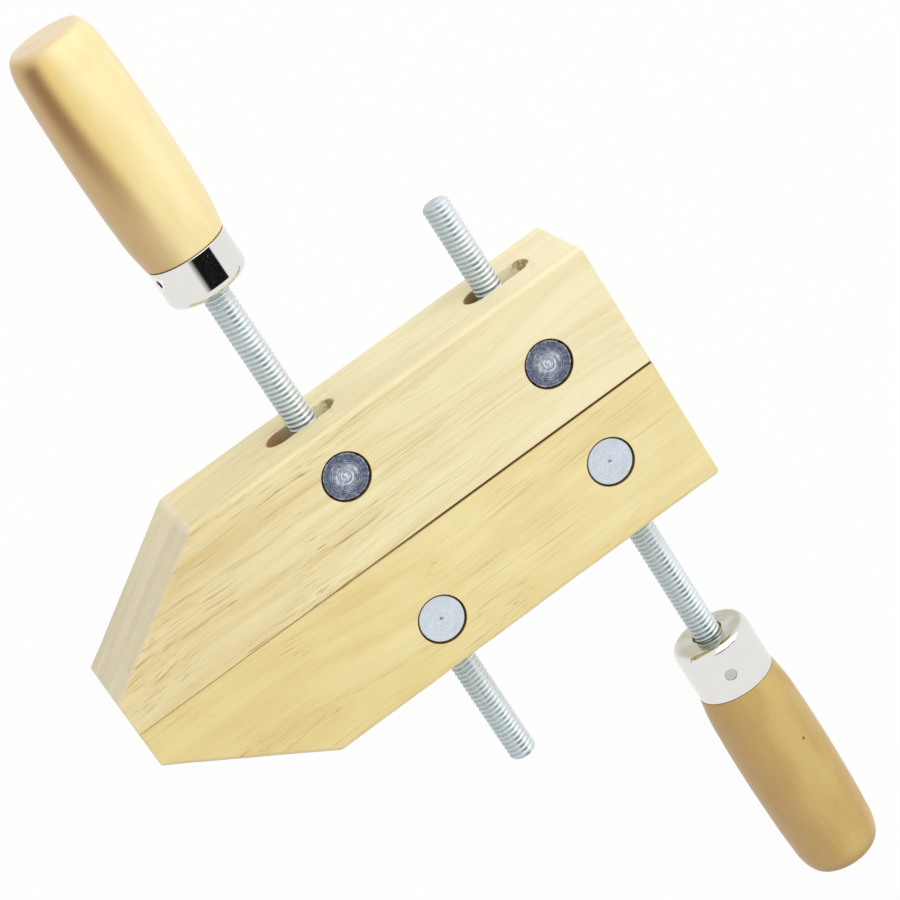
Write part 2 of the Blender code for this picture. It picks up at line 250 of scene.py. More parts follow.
class FerruleSettings(bpy.types.PropertyGroup):
    """Sizes and colours of the two ferrules and their cross pins."""

    wall: length("Wall", 1.2, "Thickness of the cup's wall")
    shoulder: length("Shoulder", 3.0, "Radius of the cup's shoulder")
    lip: length("Lip", 0.2, "Radius of the rim's edges")
    hole_clearance: length("Hole clearance", 0.75, "Gap round the spindle in the face")
    pin_from_face: length("Pin from face", 11.2, "How far the cross pin is from the face")
    pin_radius: length("Pin radius", 2.0, "Radius of the cross pins")
    pin_flare: length("Pin flare", 2.7, "Radius of the front pin's rolled rims")
    pin_hollow: length("Pin hollow", 1.3, "Radius of the hollow in the front pin")
    pin_dome: length("Pin dome", 0.15, "Height of the domes on the pins' ends")
    front_pin_inset: length("Front pin inset", -0.3, "Depth of its ends; below zero, proud")
    rear_pin_inset: length("Rear pin inset", 0.08, "Depth of the rear pin's ends")
    pin_clearance: length("Pin clearance", 0.08, "Gap round the pin")
    plating: colour("Plating", "E4E3E0", "Colour of the polished plating")
    # Painted reflection: a beige, patchy tone on the ferrules' faces stands for the shadowed
    # floor reflected there
    face_reflection: colour("Grime", "B2AC90", "Colour of the dull film on the ferrules' faces")
    steel: colour("Pin steel", "EFEFED", "Colour of the pins' ends")
    front_pin_turn: FloatProperty(
        name="Front pin turn",
        description="Turn of the front pin about its spindle",
        default=math.radians(18),
        subtype="ANGLE",
    )
    rear_pin_turn: FloatProperty(
        name="Rear pin turn",
        description="Turn of the rear pin about its spindle",
        default=math.radians(103),
        subtype="ANGLE",
    )


class HandleSettings(bpy.types.PropertyGroup):
    """Sizes and colours of the two turned handles."""

    step: length("Step", 0.15, "How far the wood stands proud of the ferrule")
    neck_chamfer: length("Neck chamfer", 0.4, "Chamfer where the wood meets the ferrule")
    end_length: length("End length", 12.0, "Length of the rounded end")
    end_diameter: length("End diameter", 29.9, "Diameter where the rounded end starts")
    face_diameter: length("Face diameter", 21.6, "Diameter of the flat end face")
    bore_clearance: length("Bore clearance", 0.3, "Gap round the spindle's tang")
    front_pale: colour("Front pale wood", "FFEFB6", "Pale wood of the front handle")
    front_warm: colour("Front warm wood", "EAD084", "Warm wood of the front handle")
    # Painted shade: darker wood on the front handle's nose side
    front_side: colour("Front side wood", "CDA468", "Beige wood on its nose side")
    front_gold: colour("Front gold", "F4CF68", "Golden wood beside the dark streak")
    # Painted dark reflection along the front handle; this colour is also the front handle's
    # fleck colour
    front_streak: colour("Front streak", "8A560E", "Dark streak along the front handle")
    front_end: colour("Front end grain", "E8CDA2", "End grain of the front handle")
    rear_pale: colour("Rear pale wood", "D5B76E", "Pale wood of the rear handle")
    rear_warm: colour("Rear warm wood", "C49E54", "Warm wood of the rear handle")
    # Painted shade: browner wood on the rear handle's nose side
    rear_side: colour("Rear side wood", "BC935A", "Browner wood on its nose side")
    rear_streak: colour("Rear streak", "A87A45", "Dark streaks of the rear handle")
    # End grain of the rear handle; over its rounded end this colour is painted shade
    rear_end: colour("Rear end grain", "AC7F3E", "End grain of the rear handle")
    knot: colour("Knot", "5E4418", "Pin knot on the rear handle")


class StageSettings(bpy.types.PropertyGroup):
    """The floor, the lamps and the camera."""

    lens: FloatProperty(
        name="Lens", description="Focal length in millimetres", default=131.58
    )
    floor: colour("Floor", "F2F2F0", "Colour of the floor")
    floor_white: share("Floor white", 0.96, "Share of the floor that glows plain white")
    sky: share("Sky", 0.69, "Brightness of the soft light from all round", 3.0)
    key: share("Key", 0.51, "Brightness that the key lamp adds to a face turned to it", 3.0)


# Meshes


def grid_faces(rows, columns, ring=False):
    """The four-cornered faces of a grid whose columns run round a loop. Where ring is
    true, the last row joins the first."""
    index = np.arange(rows * columns).reshape(rows, columns)
    if ring:
        index = np.vstack([index, index[:1]])
    right = np.roll(index, -1, axis=1)
    corners = [index[:-1], right[:-1], right[1:], index[1:]]
    return np.stack(corners, -1).reshape(-1, 4).tolist()


def new_mesh(name, grid, ring=False):
    """A closed mesh from a grid of points whose columns run round a loop. Its first and
    last rows are closed by lids, unless they join as a ring. It is turned right side out
    by the sign of the volume it encloses."""
    rows, columns = grid.shape[:2]
    faces = grid_faces(rows, columns, ring)
    if not ring:
        last = (rows - 1) * columns
        faces.append(list(range(columns - 1, -1, -1)))
        faces.append(list(range(last, last + columns)))
    mesh = bpy.data.meshes.new(name)
    mesh.from_pydata(grid.reshape(-1, 3).tolist(), [], faces)
    solid = bmesh.new()
    solid.from_mesh(mesh)
    if solid.calc_volume(signed=True) < 0:
        mesh.flip_normals()
    solid.free()
    mesh.shade_smooth()
    mesh.set_sharp_from_angle(angle=SHARP_ANGLE)
    return mesh


def linked(name, data):
    """An object of the scene that holds a mesh, a lamp or a camera."""
    thing = bpy.data.objects.new(name, data)
    bpy.context.scene.collection.objects.link(thing)
    return thing


def new_object(name, grid, ring=False):
    """An object at the origin that holds a grid's closed mesh."""
    return linked(name, new_mesh(name, grid, ring))


def dress(piece, material, body, slot, *nodes):
    """Gives a piece its material, its body and the nodes that it stands for. Its slot is not
    used.
    """
    piece.data.materials.clear()
    piece.data.materials.append(material)
    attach(piece, body)
    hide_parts(*nodes)


def cut_away(piece, cutters):
    """Takes closed cutters out of a piece and leaves it a plain mesh."""
    for cutter in cutters:
        hole = piece.modifiers.new(cutter.name, "BOOLEAN")
        hole.operation = "DIFFERENCE"
        hole.solver = "EXACT"
        hole.object = cutter
    bpy.context.view_layer.update()
    graph = bpy.context.evaluated_depsgraph_get()
    whole = piece.data
    piece.data = bpy.data.meshes.new_from_object(piece.evaluated_get(graph))
    piece.modifiers.clear()
    piece.data.name = piece.name
    piece.data.set_sharp_from_angle(angle=SHARP_ANGLE)
    bpy.data.meshes.remove(whole)
    for cutter in cutters:
        shape = cutter.data
        bpy.data.objects.remove(cutter)
        bpy.data.meshes.remove(shape)


def around(radius, turn, height):
    """Points round the Z axis: x is the radius times the turn's cosine, y the radius times
    its sine, and z the height."""
    return np.stack([radius * np.cos(turn), radius * np.sin(turn), height + 0.0 * turn], -1)


def lathe(profile, steps):
    """A profile of (radius, height) points carried round the Z axis."""
    outline = np.asarray(profile, float)
    turn = np.linspace(0.0, FULL_TURN, steps, endpoint=False)
    return around(outline[:, :1], turn, outline[:, 1:])


def quarter(centre_radius, centre_height, radius, start, end, steps):
    """Points of a round corner in a profile, from one angle to another in degrees."""
    turn = np.radians(np.linspace(start, end, steps + 1))
    return np.stack(
        [centre_radius + radius * np.cos(turn), centre_height + radius * np.sin(turn)], -1
    )


def smoothly(points, steps):
    """A Catmull-Rom curve through the rows of points: between two rows it is the cubic
    whose slope at each is half of the step between that row's two neighbours."""
    guides = np.vstack([2 * points[0] - points[1], points, 2 * points[-1] - points[-2]])
    before, first, second, after = guides[:-3], guides[1:-2], guides[2:-1], guides[3:]
    t = np.linspace(0.0, 1.0, steps, endpoint=False)[None, :, None]
    a, b, c, d = (part[:, None, :] for part in (before, first, second, after))
    curve = 0.5 * (
        2 * b
        + (c - a) * t
        + (2 * a - 5 * b + 4 * c - d) * t**2
        + (3 * b - a - 3 * c + d) * t**3
    )
    return np.vstack([curve.reshape(-1, points.shape[1]), points[-1:]])


# Shader nodes


def add(tree, kind, inputs=None, **settings):
    """A shader node. Each input is a plain value or another node's output. A colour is
    given without its alpha, which is full."""
    made = tree.nodes.new("ShaderNode" + kind)
    for name, value in settings.items():
        setattr(made, name, value)
    for name, value in (inputs or {}).items():
        socket = made.inputs[name]
        if isinstance(value, bpy.types.NodeSocket):
            tree.links.new(value, socket)
        elif socket.type == "RGBA":
            socket.default_value = (*value, 1.0)
        else:
            socket.default_value = value
    return made


def maths(tree, operation, *values, clamp=False):
    """One sum on up to three values."""
    made = add(tree, "Math", dict(enumerate(values)), operation=operation, use_clamp=clamp)
    return made.outputs[0]


def times(tree, first, second, *plus, clamp=False):
    """Two values multiplied, and a third added where it is given."""
    operation = "MULTIPLY_ADD" if plus else "MULTIPLY"
    return maths(tree, operation, first, second, *plus, clamp=clamp)


def vectors(tree, operation, *values):
    """One sum on up to three vectors, which gives a vector or a number."""
    made = add(tree, "VectorMath", dict(enumerate(values)), operation=operation)
    number = operation in {"LENGTH", "DISTANCE", "DOT_PRODUCT"}
    return made.outputs["Value" if number else "Vector"]


def parts(tree, vector):
    """The x, y and z of a vector."""
    return add(tree, "SeparateXYZ", {0: vector}).outputs


def mixed(tree, factor, first, second, blend="MIX"):
    """Two colours mixed by a factor."""
    made = add(
        tree, "Mix", {0: factor, 6: first, 7: second}, data_type="RGBA", blend_type=blend
    )
    return made.outputs[2]


def ramp(tree, value, low, high, start=0.0, end=1.0):
    """A smooth step: start below low, end above high."""
    made = add(
        tree,
        "MapRange",
        {"Value": value, "From Min": low, "From Max": high, "To Min": start, "To Max": end},
        interpolation_type="SMOOTHSTEP",
    )
    return made.outputs[0]


def noise(tree, vector, factors, detail=2.0, roughness=0.5, coloured=False):
    """A noise of about one lump for each unit of its vector, once each part of that is
    multiplied by a factor. A coloured one holds three noises."""
    made = add(
        tree,
        "TexNoise",
        {
            "Vector": vectors(tree, "MULTIPLY", vector, factors),
            "Scale": 1.0,
            "Detail": detail,
            "Roughness": roughness,
        },
    )
    return made.outputs["Color" if coloured else 0]


def turned_place(tree):
    """A point of a turned piece as its mesh stores it: millimetres, drawn along its Z axis."""
    return add(tree, "Attribute", attribute_name="turned_place").outputs["Vector"]


def from_axis(tree, spot):
    """The distance of a point from the Z axis."""
    return vectors(tree, "LENGTH", vectors(tree, "MULTIPLY", spot, (1.0, 1.0, 0.0)))


def towards(tree, spot, place, degrees):
    """The cosine of the angle round a spindle between a point drawn from its ferrule's
    face and a direction turned from straight up towards the heel."""
    side = spindle_axis(place)[3]
    turn = math.radians(degrees)
    direction = (math.sin(turn), -side * math.cos(turn), 0.0)
    unit = vectors(tree, "NORMALIZE", vectors(tree, "MULTIPLY", spot, (1.0, 1.0, 0.0)))
    return vectors(tree, "DOT_PRODUCT", unit, direction)


def new_group(name, inputs, outputs):
    """A node group whose sockets are listed by their kind. It gives back the tree, its
    inputs and its output node."""
    tree = bpy.data.node_groups.new(name, "ShaderNodeTree")
    for in_out, kinds in (("INPUT", inputs), ("OUTPUT", outputs)):
        for kind, names in kinds.items():
            for socket in names:
                tree.interface.new_socket(
                    name=socket, in_out=in_out, socket_type="NodeSocket" + kind
                )
    return tree, tree.nodes.new("NodeGroupInput").outputs, tree.nodes.new("NodeGroupOutput")


def put_out(tree, output, sockets):
    """Links sockets to a group's outputs by name."""
    for name, socket in sockets.items():
        tree.links.new(socket, output.inputs[name])


def placed_group(tree, group, inputs):
    """The outputs of a group placed in a material, with its own values."""
    return add(tree, "Group", inputs, node_tree=group).outputs


def grain_group():
    """Wood grain along X, in millimetres. Growth rings lie round an axis that leans a
    little from X, and every line sways. Over broad bands from pale to warm lie the rings'
    late wood, fine fibres, soft blotches, darker streaks, and clusters of fine flecks."""
    name = "Wood grain"
    if name in bpy.data.node_groups:
        return bpy.data.node_groups[name]
    tree, given, output = new_group(
        name,
        {
            "Vector": ("Coordinates",),
            "Color": ("Pale", "Warm", "Streak", "Fleck"),
            "Float": ("Ring width", "Bands", "Lines", "Mottle", "Streaks", "Flecks"),
        },
        {"Color": ("Color",), "Float": ("Roughness", "Height")},
    )
    start = given["Coordinates"]
    drift = noise(tree, start, (0.008, 0.03, 0.03), 1.0, coloured=True)
    sway = vectors(tree, "SUBTRACT", drift, (0.5, 0.5, 0.5))
    sway = vectors(tree, "MULTIPLY", sway, (0.0, 16.0, 16.0))
    ripple = noise(tree, start, (0.024, 0.014, 0.014), 1.0, coloured=True)
    sway = vectors(tree, "MULTIPLY_ADD", ripple, (0.0, 4.5, 4.5), sway)
    spot = vectors(tree, "ADD", start, sway)

    apart = parts(tree, spot)
    leaning = times(tree, apart[0], 0.05, apart[2])
    across = add(tree, "CombineXYZ", {1: apart[1], 2: leaning}).outputs[0]
    turns = maths(tree, "DIVIDE", vectors(tree, "LENGTH", across), given["Ring width"])
    phase = maths(tree, "FRACT", turns)
    late = times(tree, ramp(tree, phase, 0.4, 0.92), ramp(tree, phase, 0.92, 1.0, 1.0, 0.0))
    thin = noise(tree, spot, (0.007, 0.6, 0.6), 3.0, 0.6)
    lines = times(tree, late, 0.5, ramp(tree, thin, 0.48, 0.7))
    bands = ramp(tree, noise(tree, spot, (0.006, 0.13, 0.1), 3.0, 0.55), 0.38, 0.64)
    mottle = ramp(tree, noise(tree, start, (0.045, 0.1, 0.1), 3.0, 0.55), 0.36, 0.66)
    fibres = noise(tree, spot, (0.045, 2.2, 2.2), 3.0, 0.6)
    warmth = times(tree, bands, given["Bands"])
    warmth = times(tree, lines, given["Lines"], warmth)
    warmth = times(tree, mottle, given["Mottle"], warmth)
    fuzz = times(tree, maths(tree, "SUBTRACT", fibres, 0.5), given["Lines"])
    warmth = times(tree, fuzz, 1.6, warmth, clamp=True)
    wood = mixed(tree, warmth, given["Pale"], given["Warm"])

    long_ones = noise(tree, spot, (0.011, 0.8, 0.8), 2.0, 0.55)
    some = ramp(tree, noise(tree, start, (0.012, 0.05, 0.08), 1.0), 0.44, 0.6)
    streaks = times(tree, ramp(tree, long_ones, 0.57, 0.74), some)
    streaks = times(tree, streaks, given["Streaks"])
    wood = mixed(tree, streaks, wood, given["Streak"])

    long_flecks = noise(tree, spot, (0.03, 1.9, 1.9), 1.5)
    long_flecks = ramp(tree, long_flecks, 0.57, 0.76)
    fine_flecks = noise(tree, spot, (0.06, 3.2, 3.2), 1.0)
    cluster = ramp(tree, noise(tree, start, (0.02, 0.065, 0.05)), 0.42, 0.6)
    flecks = times(tree, ramp(tree, fine_flecks, 0.6, 0.78), 0.6, long_flecks)
    flecks = times(tree, times(tree, flecks, cluster), given["Flecks"])
    wood = mixed(tree, flecks, wood, given["Fleck"])

    pores = noise(tree, spot, (0.25, 5.0, 5.0), 2.0, 0.6)
    height = times(tree, flecks, -0.8, times(tree, pores, 0.5))
    roughness = times(tree, fibres, 0.16, times(tree, flecks, 0.15))
    put_out(tree, output, {"Color": wood, "Roughness": roughness, "Height": height})
    return tree


def hole_group():
    """A mask of 1 inside a slot with round ends, fading to 0 outside it. The distance is
    that of a point from a line of the given half length, less the radius."""
    name = "Hole mask"
    if name in bpy.data.node_groups:
        return bpy.data.node_groups[name]
    tree, given, output = new_group(
        name,
        {"Float": ("Along", "Across", "Half length", "Radius", "Softness")},
        {"Float": ("Mask",)},
    )
    along = maths(tree, "ABSOLUTE", given["Along"])
    past_end = maths(tree, "MAXIMUM", maths(tree, "SUBTRACT", along, given["Half length"]), 0.0)
    spot = add(tree, "CombineXYZ", {0: past_end, 1: given["Across"]}).outputs[0]
    outside = maths(tree, "SUBTRACT", vectors(tree, "LENGTH", spot), given["Radius"])
    put_out(tree, output, {"Mask": ramp(tree, outside, 0.0, given["Softness"], 1.0, 0.0)})
    return tree


def metal_group():
    """Handled metal: cloudy tone, fine scratches and specks, in millimetres."""
    name = "Handled metal"
    if name in bpy.data.node_groups:
        return bpy.data.node_groups[name]
    tree, given, output = new_group(
        name,
        {
            "Vector": ("Coordinates",),
            "Color": ("Clean", "Dull", "Speck"),
            "Float": ("Dullness", "Speck amount", "Smooth roughness"),
        },
        {"Color": ("Color",), "Float": ("Roughness", "Height")},
    )
    spot = given["Coordinates"]
    clouds = noise(tree, spot, (0.35, 0.35, 0.35), 3.0, 0.6)
    scuffs = noise(tree, spot, (0.5, 6.0, 3.0), 2.0, 0.6)
    dull = times(tree, ramp(tree, clouds, 0.42, 0.7), given["Dullness"])
    metal = mixed(tree, dull, given["Clean"], given["Dull"])
    finer = vectors(tree, "MULTIPLY", spot, (1.6, 1.6, 1.6))
    cells = add(tree, "TexVoronoi", {"Vector": finer, "Scale": 1.0}).outputs
    chance = add(tree, "SeparateColor", {0: cells["Color"]}).outputs[0]
    chosen = maths(tree, "LESS_THAN", chance, given["Speck amount"])
    speck = times(tree, ramp(tree, cells["Distance"], 0.08, 0.2, 1.0, 0.0), chosen)
    metal = mixed(tree, speck, metal, given["Speck"])
    rough = times(tree, dull, 0.12, given["Smooth roughness"])
    rough = times(tree, maths(tree, "SUBTRACT", scuffs, 0.5), 0.08, rough)
    rough = times(tree, speck, 0.3, rough, clamp=True)
    height = times(tree, speck, -0.5, times(tree, scuffs, 0.3))
    put_out(tree, output, {"Color": metal, "Roughness": rough, "Height": height})
    return tree


def rings_group():
    """Marks of a lathe tool: values that change only with the distance from the Z axis,
    in millimetres."""
    name = "Lathe rings"
    if name in bpy.data.node_groups:
        return bpy.data.node_groups[name]
    tree, given, output = new_group(
        name,
        {"Vector": ("Coordinates",), "Float": ("Rings per mm",)},
        {"Float": ("Rings", "Broad rings")},
    )
    fine = times(tree, from_axis(tree, given["Coordinates"]), given["Rings per mm"])
    sockets = {}
    for socket, value in (("Rings", fine), ("Broad rings", times(tree, fine, 0.22))):
        made = add(
            tree,
            "TexNoise",
            {"W": value, "Scale": 1.0, "Detail": 3.0, "Roughness": 0.7},
            noise_dimensions="1D",
        )
        sockets[socket] = made.outputs[0]
    put_out(tree, output, sockets)
    return tree


def new_material(name):
    """A material with its node tree and its shader."""
    material = bpy.data.materials.new(name)
    material.use_nodes = True
    return material, material.node_tree, material.node_tree.nodes["Principled BSDF"]


def in_millimetres(tree, origin):
    """The object's own coordinates, in millimetres from an origin given in metres."""
    spot = add(tree, "TexCoord").outputs["Object"]
    moved = vectors(tree, "SUBTRACT", spot, tuple(origin))
    scale = (1 / MM, 1 / MM, 1 / MM)
    return add(tree, "Mapping", {"Vector": moved, "Scale": scale}).outputs[0]


def handled_metal(tree, spot, tone, dull, speck, dullness, speck_amount, roughness):
    """Handled metal of one tone. Its dull clouds and its specks are the tone times a
    factor."""
    return placed_group(
        tree,
        metal_group(),
        {
            "Coordinates": spot,
            "Clean": tone,
            "Dull": tinted(tone, dull),
            "Speck": tinted(tone, speck),
            "Dullness": dullness,
            "Speck amount": speck_amount,
            "Smooth roughness": roughness,
        },
    )


def finish(tree, shader, tone, roughness, height, unit, values):
    """Feeds a shader its colour, its roughness and a height in a unit given in metres, and
    sets other inputs to plain values."""
    raised = add(tree, "Bump", {"Height": height, "Distance": unit, "Strength": 1.0})
    sockets = {"Base Color": tone, "Roughness": roughness, "Normal": raised.outputs[0]}
    for name, socket in sockets.items():
        tree.links.new(socket, shader.inputs[name])
    for name, value in values.items():
        shader.inputs[name].default_value = value


# Jaws


def jaw_outline(settings, length_x, height_y):
    """The outline of a jaw, drawn from its nose corner on the clamping face, with each
    corner rounded. A rounded corner's centre is where both of its edges, moved inwards by
    the radius, meet, and its points lie at that radius round it. It gives the points, the
    inward directions and the radius of the rounded rim at each point. The rim's radius is
    its edge's own, drawn down where a tighter corner is near, with a slow wobble of about
    a tenth from wear. The clamping face stands a little proud at the nose, where the two
    jaws all but touch."""
    soft, crisp = settings.soft_edge, settings.crisp_edge
    corners = np.array(
        [
            (0.0, -settings.proud),
            (length_x, 0.0),
            (length_x, height_y),
            (settings.slope_length, height_y),
            (0.0, settings.nose_height),
        ]
    )
    turns = np.array([crisp, crisp, soft, settings.slope_corner, settings.nose_corner])
    rims = np.array([crisp, crisp, soft, soft, crisp])
    step = np.roll(corners, -1, axis=0) - corners
    run = np.linalg.norm(step, axis=1)
    inward = np.stack([-step[:, 1], step[:, 0]], -1) / run[:, None]
    before = np.roll(inward, 1, axis=0)
    lean = (before * inward).sum(1)
    centres = corners + (before + inward) * (turns / (1 + lean))[:, None]
    bends = np.arccos(np.clip(lean, -1.0, 1.0))

    tightest = 0.8 * turns
    arrive = np.minimum(np.roll(rims, 1), tightest)
    leave = np.minimum(rims, tightest)
    taper = 8 * MM
    points, normals, radii = [], [], []
    for i in range(len(corners)):
        following = (i + 1) % len(corners)
        turn = np.linspace(0.0, bends[i], 9)
        cosine, sine = np.cos(turn), np.sin(turn)
        direction = np.stack(
            [
                before[i, 0] * cosine - before[i, 1] * sine,
                before[i, 0] * sine + before[i, 1] * cosine,
            ],
            -1,
        )
        points.append(centres[i] - turns[i] * direction)
        normals.append(direction)
        radii.append(np.linspace(arrive[i], leave[i], len(turn)))

        start = centres[i] - turns[i] * inward[i]
        end = centres[following] - turns[following] * inward[i]
        span = np.linalg.norm(end - start)
        spots = np.concatenate(
            [[SUPPORT], np.arange(4 * MM, span - 2 * MM, 4 * MM), [span - SUPPORT]]
        )
        near = min(taper, span / 2)
        points.append(start + (end - start) * (spots / span)[:, None])
        normals.append(np.repeat(inward[i : i + 1], len(spots), axis=0))
        radii.append(
            np.interp(
                spots,
                [0.0, near, span - near, span],
                [leave[i], rims[i], rims[i], arrive[following]],
            )
        )
    points, normals, radii = map(np.concatenate, (points, normals, radii))
    distance = np.cumsum(np.linalg.norm(np.diff(points, axis=0, prepend=points[-1:]), axis=1))
    wobble = np.sin(distance * FULL_TURN / (37 * MM)) + np.sin(distance * FULL_TURN / (13 * MM))
    return points, normals, radii * (1 + 0.05 * wobble)


def jaw_grid(settings, level):
    """A jaw's surface: its outline carried through its thickness. Across each rim the
    outline moves inwards by the rim's radius times one less the cosine of an angle, while
    it rises by the radius times the angle's sine."""
    side = JAWS[level]
    low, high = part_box(f"{level}_jaw")
    points, inward, rim = jaw_outline(settings, high.x - low.x, high.y - low.y)
    half = (high.z - low.z) / 2
    angle = np.radians(np.linspace(0.0, 90.0, 8))[:, None]
    inset = np.vstack([0 * rim, rim * (1 - np.cos(angle)), rim + SUPPORT])
    rise = half - np.vstack([rim + 3 * SUPPORT, rim * (1 - np.sin(angle)), 0 * rim])
    inset = np.vstack([inset[::-1], inset])[..., None]
    rise = np.vstack([-rise[::-1], rise])
    flat = points + inward * inset
    face = low.y if side > 0 else high.y
    return np.stack(
        [low.x + flat[..., 0], face + side * flat[..., 1], (low.z + high.z) / 2 + rise], -1
    )


def stadium(back, ahead, radius, steps=24):
    """A loop with two half-circle ends, and its outward directions. Its ends reach back
    and ahead of the origin."""
    turn = np.radians(np.linspace(90.0, 270.0, steps))
    outward = np.stack([np.cos(turn), np.sin(turn)], -1)
    outward = np.vstack([outward, -outward])
    middle = np.repeat([radius - back, ahead - radius], steps)
    loop = radius * outward
    loop[:, 0] += middle
    return loop, outward


def slot_cutter(settings, level, place, seed):
    """The slot for a spindle: a loop in x and z carried along y. At each mouth the loop
    opens by a small chamfer, and at its heel end by torn fibres of random depth."""
    low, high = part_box(f"{level}_jaw")
    rod = centre(f"{place}_spindle")
    radius = radius_of(f"{place}_spindle") + settings.slot_clearance
    back = getattr(settings, f"{place}_slot_to_nose")
    ahead = getattr(settings, f"{place}_slot_to_heel")
    loop, outward = stadium(back, ahead, radius)
    chance = np.random.default_rng(seed)
    torn = settings.tear * chance.random((2, len(loop))) ** 3
    torn = torn * np.clip(outward[:, 0], 0.0, 1.0) ** 0.5
    chamfer = 0.2 * MM
    deep = 1.2 * MM
    levels = np.array(
        [
            low.y - OVERRUN, low.y, low.y + chamfer, low.y + deep,
            high.y - deep, high.y - chamfer, high.y, high.y + OVERRUN,
        ]
    )
    spread = np.zeros((8, len(loop)))
    spread[[0, 1]] = chamfer + torn[0]
    spread[2] = torn[0] * 0.6
    spread[5] = torn[1] * 0.6
    spread[[6, 7]] = chamfer + torn[1]
    flat = loop + outward * spread[..., None]
    return new_object(
        f"{level}_{place}_slot",
        np.stack(
            [rod.x + flat[..., 0], levels[:, None] + 0 * flat[..., 0], rod.z + flat[..., 1]],
            -1,
        ),
    )


def bore_cutter(settings, level, place):
    """The bore for a barrel nut: a circle in x and y carried along z, which opens by a
    small chamfer at each mouth."""
    low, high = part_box(f"{level}_jaw")
    nut = centre(f"{place}_{level}_nut")
    radius = radius_of(f"{place}_{level}_nut") + settings.bore_clearance
    chamfer = 0.15 * MM
    half = (high.z - low.z) / 2
    wide = radius + chamfer
    grid = lathe(
        [
            (wide, -half - OVERRUN), (wide, -half), (radius, chamfer - half),
            (radius, half - chamfer), (wide, half), (wide, half + OVERRUN),
        ],
        SIDES["jaw_bore"],
    )
    return new_object(f"{level}_{place}_bore", grid + np.array(nut))


